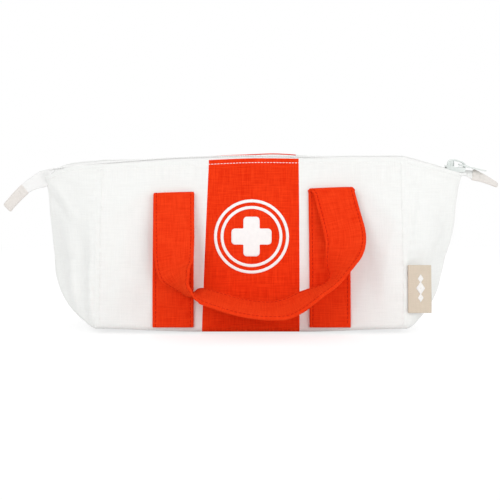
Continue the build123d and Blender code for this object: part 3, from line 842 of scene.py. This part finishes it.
for side in (front, back):
    wall = sideNames[side]
    face = zipper["foot"] + zipper["tape"]  # the tape's upper face over the plain edge
    x = np.linspace(-zipper["end"][left], zipper["end"][right], 260)
    across = np.array([zipper["inner"], 2.5, 4.0, zipper["bend"], 5.8, 6.3, 6.8, 7.2, zipper["outer"]])
    hemX, hemY, hemZ = hemLine(side)
    outer, rim = np.interp(x, hemX, hemY) - zipper["rimIn"], np.interp(x, hemX, hemZ) - zipper["rimDown"]
    bent = (across - zipper["bend"]) / (zipper["outer"] - zipper["bend"])
    flatZ = archZ(x) + face
    narrow = np.clip(outer / zipper["outer"], zipper["narrowest"], 1)
    spread = np.maximum(outer - zipper["outer"], 0)[:, None] * np.clip(bent, 0, 1)
    y = across * np.where(across > 3, narrow[:, None], 1) + spread
    z = flatZ[:, None] + (rim - flatZ)[:, None] * smooth(bent)
    p = np.stack([x[:, None] + 0 * y, side * y, z], axis=-1)
    uv = np.stack([x[:, None] + 0 * y, y], axis=-1)
    piece = sheetPiece(f"{wall}_zip_tape.cloth", p, uv, side == front, tapeCloth, zipper["tape"])
    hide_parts(f"{wall}_zip_tape", "left_zip_tape_ends", "right_zip_tape_ends")
    bendWith(piece)
    coilTurns = (zipper["end"][left] + zipper["end"][right] - 2) / zipper["pitch"]
    turns = np.arange(0, coilTurns, 1 / zipper["turnSteps"])
    x = 1 - zipper["end"][left] + turns * zipper["pitch"] + (0.5 * zipper["pitch"] if side == back else 0)
    angle = turns * 2 * math.pi
    y = side * (zipper["coilY"] - zipper["coilWide"] * np.cos(angle))
    z = archZ(x) + face + zipper["coilHigh"] * (1 + np.sin(angle))
    path = np.stack([x, y, z], axis=-1)
    run = unit(np.gradient(path, axis=0))
    sideways = unit(np.cross(run, [1.0, 0, 0]))
    angles = np.arange(zipper["wireSides"]) * 2 * math.pi / zipper["wireSides"]
    ring = np.stack([np.cos(angles), np.sin(angles)], axis=-1) * zipper["wire"]
    p = tubeGrid(path, np.cross(run, sideways), sideways, ring)
    piece = meshPiece(f"{wall}_zip_coil.wound", p, tubeFaces(len(path), len(ring)), nylon)
    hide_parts(f"{wall}_zip_coil", "left_zip_coil_ends", "right_zip_coil_ends")
    bendWith(piece)
print("zip made")


# Zip ends and tabs

# middle line of each tail beyond the tapes: distance from mid length, Z, width, thickness, turn to the front
zipTails = {
    left: (
        (147, 117.0, 13, 1.6, 0), (151.5, 114.6, 15, 1.7, 20), (155.5, 110.6, 15, 1.8, 54),
        (160.5, 108.2, 12, 1.9, 66), (165.5, 105.6, 10, 2, 66), (171.2, 101.9, 9, 2, 60),
    ),
    right: (
        (150, 115.4, 11, 1.5, 0), (156, 114.9, 10, 1.6, 4), (160, 114.3, 9.5, 1.7, 16),
        (164, 113.4, 9, 1.8, 34), (167, 112.4, 8.6, 1.9, 44),
    ),
}
tab = {
    "length": 21.0,
    "thick": 3.0,
    "overlap": 1.5,  # over the tail's end, and above it
    "lift": 0.9,
    "arch": 0.6,
    "droop": {left: 46.0, right: 23.0},
    "turn": {left: (60, 66), right: (48, 26)},
    "width": {left: (9.6, 8.6), right: (10.5, 6.0)},
    # share along the tab, and what the width and the thickness are multiplied by there
    "taper": ((0, 0.04, 0.97, 1), (0.88, 1, 1, 0.9)),
    "pinch": ((0, 0.03, 0.06, 0.24, 0.27, 0.3, 0.92, 1), (0.55, 1.05, 1.15, 1.1, 0.72, 0.95, 0.85, 0.45)),
}


def roundedProfile(width, thick, count=7):  # flat oval: two straight faces with half-round edges
    r = thick / 2
    a = np.linspace(-math.pi / 2, math.pi / 2, count)
    rightSide = np.stack([width / 2 - r + r * np.cos(a), r * np.sin(a)], axis=-1)
    inner = np.linspace(1, -1, count)[1:-1] * (width / 2 - r)
    topFace = np.stack([inner, r + 0 * inner], axis=-1)
    return np.concatenate([rightSide, topFace, -rightSide, -topFace])


def smoothLine(rows, steps):  # smooth curve through rows of values (Catmull-Rom)
    rows = np.array(rows, float)
    t = np.linspace(0, len(rows) - 1, steps)
    i = np.minimum(t.astype(int), len(rows) - 2)
    u = (t - i)[:, None]
    a, b, c, d = (rows[np.clip(i + k, 0, len(rows) - 1)] for k in (-1, 0, 1, 2))
    return 0.5 * (2 * b + (c - a) * u + (2 * a - 5 * b + 4 * c - d) * u**2 + (3 * b - a - 3 * c + d) * u**3)


def stripPiece(name, end, rows, turns, material):
    # flat strip along rows of distance, Z, width and thickness: a flat oval carried along the line, with its
    # width turned from level towards the floor on the front side
    path = np.stack([end * rows[:, 0], 0 * rows[:, 0], rows[:, 1]], axis=-1)
    run = unit(np.gradient(path, axis=0))
    level = np.tile([0.0, -1.0, 0.0], (len(path), 1))
    down = np.cross(run, level) * end
    turns = np.radians(turns)[:, None]
    across = level * np.cos(turns) + down * np.sin(turns)
    profiles = np.array([roundedProfile(width, thick) for width, thick in rows[:, 2:4]])
    p = tubeGrid(path, np.cross(run, across), across, profiles)
    around = np.arange(p.shape[1]) * 1.2
    uv = np.stack(np.broadcast_arrays(runOf(path)[:, None], around[None, :]), axis=-1)
    return meshPiece(name, p, tubeFaces(len(path), p.shape[1]), material, uv)


for end in (left, right):
    endName = endNames[end]
    line = smoothLine(zipTails[end], 30)
    piece = stripPiece(f"{endName}_zip_end", end, line, line[:, 4], tapeCloth)
    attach(piece, "root")
    droop = math.radians(tab["droop"][end])
    t = np.linspace(0, 1, 30)
    x = line[-1, 0] - tab["overlap"] + math.cos(droop) * t * tab["length"]
    z = line[-1, 1] + tab["lift"] - math.sin(droop) * t * tab["length"] + tab["arch"] * np.sin(math.pi * t)
    width = np.interp(t, [0, 1], tab["width"][end]) * np.interp(t, *tab["taper"])
    rows = np.stack([x, z, width, tab["thick"] * np.interp(t, *tab["pinch"])], axis=-1)
    turns = np.interp(t, [0, 1], tab["turn"][end])
    piece = stripPiece(f"{endName}_zip_tab.folded", end, rows, turns, tabCloth)
    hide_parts(f"{endName}_zip_tab")
    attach(piece, "root")
print("tabs made")


# Emblem

emblem = {
    "z": 70.2, "span": 29.4, "arm": 11.9, "corner": 2.7, "inner": 45.2, "outer": 54.8, "line": 2.2,
    "film": 0.25, "lift": 0.03, "rise": 0.96,
    "roughness": ((0.025, 37, 0), (0.02, 61, 1)),  # height, count and phase of the edges' waves
}


def printPiece(name, node, a, b, filled=False):  # flat coordinates (a across, b up) laid on the front band
    points, normals = wallLine(a, emblem["z"] + b * emblem["rise"], front, emblem["lift"])
    p = points + normals * emblem["film"]
    rows, columns = p.shape[:2]
    faces = gridFaces(rows, columns, closeColumns=True)
    p = p.reshape(-1, 3)
    if filled:
        p = np.concatenate([p, p[-columns:].mean(axis=0, keepdims=True)])
        last = (rows - 1) * columns
        faces += [[last + k, last + (k + 1) % columns, rows * columns] for k in range(columns)]
    piece = meshPiece(name, p, faces, printInk)
    thicken(piece, emblem["film"])
    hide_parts(node)
    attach(piece, "front_wall")


angles = np.linspace(0, 2 * math.pi, 180, endpoint=False)
rough = sum(high * np.sin(count * angles + phase) for high, count, phase in emblem["roughness"])
for name in ("inner", "outer"):
    size = emblem[name] / 2
    radii = np.linspace(size, size - emblem["line"], 5)[:, None] + rough * np.array([1, 0, 0, 0, -1])[:, None]
    a, b = radii * np.cos(angles), radii * np.sin(angles)
    printPiece(f"emblem_{name}_ring.print", f"emblem_{name}_ring", a, b)


def crossOutline():  # four arms with round corners, in points about a millimetre apart
    span, arm, r = emblem["span"] / 2, emblem["arm"] / 2, emblem["corner"]
    arc = np.linspace(-math.pi / 2, 0, 8)
    lower = np.stack([span - r + r * np.cos(arc), -arm + r + r * np.sin(arc)], axis=-1)
    oneArm = np.concatenate([lower, lower[::-1] * [1, -1], [[arm + 0.5, arm], [arm, arm + 0.5]]])
    turns = [(math.cos(turn), math.sin(turn)) for turn in np.arange(4) * math.pi / 2]
    corners = np.concatenate([oneArm @ np.array([[c, s], [-s, c]]) for c, s in turns])
    lines = []
    for a, b in zip(corners, np.roll(corners, -1, axis=0)):
        count = max(1, int(np.linalg.norm(b - a)))
        lines.append(a + (b - a) * np.arange(count)[:, None] / count)
    return np.concatenate(lines)


flat = crossOutline() * np.linspace(1, 0.1, 12)[:, None, None]
printPiece("emblem_cross.print", "emblem_cross", flat[..., 0], flat[..., 1], True)
print("emblem made")


# Straps

# middle line of the front loop: X, distance out from the leg's face, Z, turn of the width and its fall
loopStations = np.array([
    (-57.0, 1.65, 102, 0, 0), (-56.9, 2.3, 93.5, 0, 0), (-56.6, 4.0, 83, 1, 0), (-56.2, 7.0, 71.5, 5, 0),
    (-55.7, 11.0, 59.5, 15, -20), (-54.3, 14.6, 49, 31, -27), (-52.0, 15.8, 43.4, 51, -22),
    (-48.3, 16.0, 36.8, 76, -19), (-44.0, 15.8, 32.6, 88, -19), (-40.4, 15.6, 31.6, 92, -2),
    (-36.7, 15.4, 31.3, 92, 8), (-29.0, 15.0, 29, 90, 12), (-10.0, 14.4, 23.3, 90, 13),
    (5.0, 14.2, 20.8, 90, 13), (16.0, 14.2, 20.4, 90, 14), (26.0, 14.4, 22.2, 90, 18),
    (35.0, 15.0, 26.6, 90, 18), (43.0, 15.6, 31, 90, 11), (50.0, 16.0, 34.8, 90, 3),
    (56.4, 16.0, 38.6, 88, 0), (60.0, 16.0, 43, 80, 0), (62.2, 15.8, 48.5, 66, 0), (64.2, 14.6, 54.2, 49, 0),
    (66.6, 12.2, 61, 31, 0), (67.8, 9.8, 67.8, 19, 0), (67.3, 7.6, 74.5, 9, 0), (65.6, 5.6, 81.5, 3, 0),
    (63.0, 3.2, 91.5, 0, 0), (60.2, 1.75, 102, 0, 0),
])


def loopCurve(rows, step):  # smooth curve through the stations: each one's trend comes from its neighbours
    knots = runOf(rows[:, :3])
    order = np.arange(len(rows))
    ahead, behind = np.minimum(order + 1, len(rows) - 1), np.maximum(order - 1, 0)
    trend = (rows[ahead] - rows[behind]) / (knots[ahead] - knots[behind])[:, None]
    s = np.linspace(0, knots[-1], int(knots[-1] / step))
    i = np.clip(np.searchsorted(knots, s, side="right") - 1, 0, len(rows) - 2)
    span = (knots[i + 1] - knots[i])[:, None]
    u = (s - knots[i])[:, None] / span
    value = (1 + 2 * u) * (1 - u) ** 2 * rows[i] + u**2 * (3 - 2 * u) * rows[i + 1]
    return value + span * (u * (1 - u) ** 2 * trend[i] - u**2 * (1 - u) * trend[i + 1]), s


def strapPath(side):
    # up the left leg, over the fold, round the loop, over the other fold and down the right leg
    state, s = loopCurve(loopStations, strap["step"])
    x, z = state[:, 0], state[:, 2]
    y = halfDepth(z, strap["gap"] + strap["thick"]) + state[:, 1]
    turn, fall = np.radians(state[:, 3]), np.radians(state[:, 4])
    loop = np.stack([x, -y, z], axis=-1)
    wide = np.stack([np.cos(turn), -np.sin(turn) * np.cos(fall), -np.sin(turn) * np.sin(fall)], axis=-1)
    squared = smooth(s / strap["level"]) * smooth((s[-1] - s) / strap["level"])
    a = np.linspace(0, math.pi, 12)[1:-1]
    legs, flats = [], []
    for k, (end, loopX, loopY) in enumerate(((left, x[0], y[0]), (right, x[-1], y[-1]))):
        legTop = strap["legTop"] - strap["foldDrop"][k]
        legZ = np.linspace(strap["legBottom"], legTop, 80)
        legY = halfDepth(legZ, strap["gap"] + strap["thick"] / 2)
        legX = end * strap["legX"] + (strap["lean"] * (1 - 2 * legZ / legTop) if end == right else 0 * legZ)
        pivotY, radius = (legY[-1] + loopY) / 2, (loopY - legY[-1]) / 2
        foldX = np.interp(a, [0, math.pi], [legX[-1], loopX])
        over = np.stack([foldX, -pivotY + radius * np.cos(a), legTop + radius * np.sin(a)], axis=-1)
        legs.append(np.concatenate([np.stack([legX, -legY, legZ], axis=-1), over]))
        early, run = strap["tiltStart"]
        tilt = np.concatenate([early * smooth((legZ - legTop) / run + 1), early + (1 - early) * a / math.pi])
        tilt = tilt * strap["foldTilt"][k]
        flats.append(np.stack([np.ones_like(tilt), 0 * tilt, tilt], axis=-1))
    near = 1 - smooth(s / strap["settle"]), 1 - smooth((s[-1] - s) / strap["settle"])
    loop[:, 2] -= near[0] * strap["foldDrop"][0] + near[1] * strap["foldDrop"][1]
    wide[:, 2] += near[0] * strap["foldTilt"][0] + near[1] * strap["foldTilt"][1]
    points = np.concatenate([legs[0], loop, legs[1][::-1]])
    wide = np.concatenate([flats[0], wide, flats[1][::-1]])
    square = np.concatenate([0 * legZ, 0 * a, squared, 0 * a, 0 * legZ])
    share = np.concatenate([0 * legZ, a / math.pi, np.ones(len(loop)), 1 - a / math.pi, 0 * legZ])
    keep = np.diff(runOf(points), prepend=-1) > 0.02  # without the points that lie on each other
    points, wide, square, share = points[keep], wide[keep], square[keep, None], share[keep]
    run = unit(np.gradient(points, axis=0))
    slant = run * np.sum(wide * run, axis=1, keepdims=True)
    wide = wide - slant * square
    width = np.linalg.norm(wide - slant * (1 - square), axis=1, keepdims=True)
    wide = wide / np.maximum(width, strap["stretch"])
    mirror = np.array([1, -side, 1])
    return points * mirror, wide * mirror, unit(np.cross(run, wide)) * mirror, share


def strapProfile():  # folded webbing: flat faces with a stitched dent near each edge and rounded edges
    half, t, r = strap["width"] / 2, strap["thick"] / 2, strap["edge"]
    dent = half - strap["stitchIn"]
    beside = np.array([half - r, dent + 0.7, dent + 0.3, dent, dent - 0.3, dent - 0.8])
    w = np.concatenate([-beside, np.linspace(-dent + 3, dent - 3, 7), beside[::-1]])
    (deep, narrow), (full, broad) = strap["dent"], strap["crown"]
    n = t - deep * bump(np.abs(w) - dent, narrow) + full * bump(w, broad)
    a = np.linspace(math.pi / 2, -math.pi / 2, 7)[1:-1]
    edge = np.stack([half - r + r * np.cos(a), t * np.sin(a)], axis=-1)
    topFace = np.stack([w, n], axis=-1)
    return np.concatenate([topFace, edge, topFace[::-1] * [1, -1], edge[::-1] * [-1, 1]])


for side in (front, back):
    wall = sideNames[side]
    points, wide, normal, share = strapPath(side)
    profile = strapProfile()
    p = tubeGrid(points, normal, wide, profile)
    uv = np.stack(np.broadcast_arrays(runOf(points)[:, None], runOf(profile)[None, :]), axis=-1)
    faces = tubeFaces(len(points), len(profile), flip=side == front)
    piece = meshPiece(f"{wall}_strap.webbing", p, faces, redWebbing, uv)
    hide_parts(f"{wall}_strap_loop", f"{wall}_strap_leg_left", f"{wall}_strap_leg_right")
    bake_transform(piece)
    rows = []
    for across in (-1, 1):
        for face in (-1, 1):
            line = points + wide * across * (strap["width"] / 2 - strap["stitchIn"])
            line = line + normal * face * (strap["thick"] / 2 - strap["threadIn"])
            rows.append((line, normal * face, share))
    piece, shares = stitchPiece(f"{wall}_strap_stitching", rows, strap["thread"], redThread)
    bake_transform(piece)
print("straps made")


# Side label

tag = {
    "width": 17.5,
    "height": 34.9,
    "thick": 0.8,
    "bottom": 15.8,
    "turn": 10.0,
    "gap": 0.7,
    "seamGap": 0.3,
    "curl": 0.6,
    "wave": 0.5,
    "waveLength": 17.0,
    "edgeShare": 0.55,  # part of the thickness that is left at the edges
    "edgeRun": 0.8,
    "marks": ((25, 2.2), (18, 3.4), (11, 2.2)),  # height and size of the three lozenges
    "markMiddle": 9.2,
    "markSquash": 0.7,
    "markFilm": 0.12,
}


def labelPoint(a, b, out):  # a across from the seam, b up, out of the label's face; gently curled
    low, high = tag["bottom"], tag["bottom"] + tag["height"]
    bow = halfDepth((low + high) / 2) - (halfDepth(low) + halfDepth(high)) / 2
    y0, y1 = (-(halfDepth(z) + bow + tag["gap"]) for z in (low, high))
    up = unit(np.array([0, y1 - y0, high - low]))
    ahead = np.cross([1.0, 0, 0], up)
    turn = math.radians(tag["turn"])
    wide = np.array([1.0, 0, 0]) * math.cos(turn) - ahead * math.sin(turn)
    share = a / tag["width"]
    curl = tag["curl"] * np.sin(share * math.pi) + tag["wave"] * np.sin(b / tag["waveLength"] + 1) * share**2
    start = np.array([bag["seamX"] + tag["seamGap"], y0, low])
    return start + a[..., None] * wide + b[..., None] * up + (out + curl)[..., None] * np.cross(wide, up)


a, b = np.meshgrid(np.linspace(0, tag["width"], 25), np.linspace(0, tag["height"], 49))
edge = np.minimum(np.minimum(b, tag["height"] - b), tag["width"] - a + 1)
thickness = tag["thick"] / 2 * (tag["edgeShare"] + (1 - tag["edgeShare"]) * smooth(edge / tag["edgeRun"]))
p = np.concatenate([labelPoint(a, b, thickness), labelPoint(a, b, -thickness)[:, ::-1]], axis=1)
uv = np.stack([np.concatenate([a, a[:, ::-1] + 40], axis=1), np.concatenate([b, b], axis=1)], axis=-1)
rows, columns = p.shape[:2]
faces = gridFaces(rows, columns, closeColumns=True)
for row in (0, rows - 1):  # the lower and the upper edge
    for k in range(columns // 2 - 1):
        first = row * columns
        quad = [first + k, first + k + 1, first + columns - 2 - k, first + columns - 1 - k]
        faces.append(quad[::-1] if row == 0 else quad)
piece = meshPiece("side_label.woven", p, faces, labelCloth, uv)
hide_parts("side_label")
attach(piece, "label")
t = np.linspace(0, 2 * math.pi, 24, endpoint=False)
rings = np.linspace(1, 0.05, 5)[:, None]
for k, (middle, size) in enumerate(tag["marks"]):
    r = rings * size / (np.abs(np.cos(t)) + tag["markSquash"] * np.abs(np.sin(t)))
    face = tag["thick"] / 2 + tag["markFilm"] + 0 * r
    mark = labelPoint(tag["markMiddle"] + r * np.cos(t), middle + r * np.sin(t), face)
    faces = gridFaces(len(rings), len(t), closeColumns=True)
    piece = meshPiece(f"side_label_mark_{k + 1}", mark, faces, whiteWoven)
    thicken(piece, tag["markFilm"])
    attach(piece, "label")
print("label made")


# Slider: the frame's body with softened edges, a long low bridge and a pull with a long eye

slider = {"weld": 0.005, "round": 0.45, "sharp": 35}
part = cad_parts["zip_slider"]
part.data.materials.clear()
part.data.materials.append(enamel)
weld = part.modifiers.new("weld", "WELD")
weld.merge_threshold = slider["weld"] * mm
bevel = part.modifiers.new("bevel", "BEVEL")
bevel.width = slider["round"] * mm
bevel.segments = 3
bevel.limit_method = "ANGLE"
bevel.angle_limit = math.radians(slider["sharp"])
bevel.harden_normals = True

pull = {
    "axis": (155.793, 120.66),  # X and Z of the pin
    "drop": 13.09,
    "round": 0.35,
    "steps": 144,
    # middle along the pull and thickness; an outline is half length, half width and power
    "eye": {"middle": 5.0, "thick": 1.4, "hole": (4.3, 1.95, 6), "edge": (5.7, 3.3, 5)},
    "tongue": {"middle": 17.5, "thick": 1.15, "hole": 1.3, "edge": (8.1, 3.5, 8)},
}


def superOval(angle, a, b, power):  # distance to a rounded rectangle's outline in a direction
    return (np.abs(np.cos(angle) / a) ** power + np.abs(np.sin(angle) / b) ** power) ** (-1 / power)


def eyePlate(name, plate, inner, outer):
    # plate with an opening, both outlines given by distances from a middle on the pull's run
    r = pull["round"]
    turn = np.radians([180, 210, 240, 270, 270, 300, 330, 360, 0, 30, 60, 90, 90, 120, 150, 180])
    outward = np.repeat([False, True, True, False], 4)
    upward = np.repeat([-1, -1, 1, 1], 4)
    away = np.where(outward, outer[:, None] - r, inner[:, None] + r) + r * np.cos(turn)
    height = upward * (plate["thick"] / 2 - r) + r * np.sin(turn)
    s = plate["middle"] + away * np.cos(around)[:, None]
    down = math.radians(pull["drop"])
    x = pull["axis"][0] + s * math.cos(down) + height * math.sin(down)
    z = pull["axis"][1] - s * math.sin(down) + height * math.cos(down)
    p = np.stack([x, away * np.sin(around)[:, None], z], axis=-1)
    faces = gridFaces(len(around), len(turn), closeRows=True, closeColumns=True, flip=True)
    piece = meshPiece(name, p, faces, enamel)
    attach(piece, "pull")
    return piece


# the eye is long enough to clear the whole bridge when the pull is folded over
around = np.arange(pull["steps"]) * 2 * math.pi / pull["steps"]
eye, tongue = pull["eye"], pull["tongue"]
piece = eyePlate("zip_pull.eye", eye, superOval(around, *eye["hole"]), superOval(around, *eye["edge"]))
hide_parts("zip_pull")
# the tongue is half a circle at the tip and a rounded box towards the eye
outline = np.where(np.cos(around) > 0, tongue["edge"][1], superOval(around, *tongue["edge"]))
eyePlate("zip_pull.tongue", tongue, tongue["hole"] + 0 * around, outline)

# middle lines of the bridge, from the nose to the tail, and of the cheek that fills its nose end:
# X, Z, width and thickness
bridgeLine = (
    (147.6, 119.0, 3.6, 2.6), (147.6, 120.6, 3.4, 2.5), (147.8, 122.1, 3.2, 2.3), (148.6, 123.4, 3.0, 2.0),
    (150.0, 124.0, 2.8, 1.8), (151.8, 124.1, 2.7, 1.6), (153.8, 123.8, 2.7, 1.5), (156.0, 123.2, 2.8, 1.4),
    (158.0, 122.3, 2.9, 1.4), (159.3, 121.1, 3.1, 1.6), (159.6, 119.6, 3.3, 1.8), (159.3, 118.0, 3.4, 2.0),
)
cheekLine = (
    (149.6, 118.6, 2.9, 4.6), (149.5, 120.6, 2.8, 4.5), (149.7, 122.4, 2.6, 4.1), (150.0, 123.6, 2.3, 3.0),
)
line = smoothLine(bridgeLine, 60)
piece = stripPiece("zip_slider_bridge.bent", right, line, 0 * line[:, 0], enamel)
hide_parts("zip_slider_bridge")
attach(piece, "slider")
line = smoothLine(cheekLine, 20)
piece = stripPiece("zip_slider_bridge.cheek", right, line, 0 * line[:, 0], enamel)
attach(piece, "slider")
print("slider made")


# Floor, light and camera

studio = {
    "look": (-1.1, 0.0, 56.0),
    "distance": 920.0,
    "elevation": 8.0,
    "lens": 87.5,
    "glow": 0.76,
    "sky": 0.68,
    "fade": (0.24, 0.5),  # metres from the middle where the floor starts and ends to turn plain white
    "floor": 12.0,
    "under": -0.0004,
    "lampAim": (0, 0, 0.05),
}
# place in metres, size and power
lamps = {
    "key": ((-0.95, -1.35, 1.1), 1.1, 10.0),
    "fill": ((1.25, -1.15, 0.65), 1.3, 8.7),
    "top": ((0.1, 0.3, 1.6), 1.5, 2.6),
    "rear": ((0.5, 1.5, 1.0), 1.4, 8.0),
}


def seenItself(g):  # 1 where the stage shows, also in a mirror or through glass, and 0 where it only lights
    path = g.add("ShaderNodeLightPath")
    seen = g.math("MAXIMUM", path.outputs["Is Camera Ray"], path.outputs["Is Glossy Ray"])
    return g.math("MAXIMUM", seen, path.outputs["Is Transmission Ray"])


def stageMaterial():
    # seen itself: dim diffuse plus glow, so that only the contact shadow falls below white, fading to plain
    # white far away; for light on the piece: light grey diffuse
    material = bpy.data.materials.new("studioWhite")
    material.use_nodes = True
    nodes = material.node_tree.nodes
    nodes.remove(nodes["Principled BSDF"])
    g = Graph(material.node_tree)
    diffuse = g.add("ShaderNodeBsdfDiffuse", {"Color": (0.93, 0.93, 0.93, 1)})
    shadow = g.add("ShaderNodeBsdfDiffuse", {"Color": (0.3, 0.3, 0.3, 1)})
    glow = g.add("ShaderNodeEmission", {"Strength": studio["glow"]})
    both = g.add("ShaderNodeAddShader", {0: shadow.outputs[0], 1: glow.outputs[0]})
    white = g.add("ShaderNodeEmission", {"Strength": 1.0})
    place = g.add("ShaderNodeTexCoord").outputs["Object"]
    away = g.add("ShaderNodeVectorMath", {0: place}, operation="LENGTH").outputs["Value"]
    given = {"Value": away, "From Min": studio["fade"][0], "From Max": studio["fade"][1]}
    fade = g.add("ShaderNodeMapRange", given, interpolation_type="SMOOTHSTEP")
    shown = g.add("ShaderNodeMixShader", {0: fade.outputs[0], 1: both.outputs[0], 2: white.outputs[0]})
    mix = g.add("ShaderNodeMixShader", {0: seenItself(g), 1: diffuse.outputs[0], 2: shown.outputs[0]})
    g.give(nodes["Material Output"], "Surface", mix.outputs[0])
    return material


half, under = studio["floor"], studio["under"]
corners = [(-half, -half, under), (half, -half, under), (half, half, under), (-half, half, under)]
mesh = bpy.data.meshes.new("floor")
mesh.from_pydata(corners, [], [(0, 1, 2, 3)])
mesh.materials.append(stageMaterial())
floor = bpy.data.objects.new("floor", mesh)
bpy.context.scene.collection.objects.link(floor)

world = bpy.data.worlds.new("studio")
bpy.context.scene.world = world
world.use_nodes = True
g = Graph(world.node_tree)
background = world.node_tree.nodes["Background"]
g.give(background, "Strength", g.math("MULTIPLY_ADD", seenItself(g), 1 - studio["sky"], studio["sky"]))
g.give(background, "Color", (1, 1, 1, 1))

for name, (place, size, power) in lamps.items():
    data = bpy.data.lights.new(name, "AREA")
    data.size = size
    data.energy = power
    lamp = bpy.data.objects.new(name, data)
    bpy.context.scene.collection.objects.link(lamp)
    x, y, z = np.array(studio["lampAim"]) - np.array(place)
    lamp.location = place
    lamp.rotation_euler = (math.atan2(math.hypot(x, y), -z), 0, math.atan2(-x, y))

data = bpy.data.cameras.new("camera")
data.lens = studio["lens"]
data.sensor_width = 36
camera = bpy.data.objects.new("camera", data)
bpy.context.scene.collection.objects.link(camera)
rise = math.radians(studio["elevation"])
look = np.array(studio["look"]) * mm
camera.location = look + studio["distance"] * mm * np.array([0, -math.cos(rise), math.sin(rise)])
camera.rotation_euler = (math.pi / 2 - rise, 0, 0)
bpy.context.scene.camera = camera
bpy.context.scene.view_settings.view_transform = "Standard"
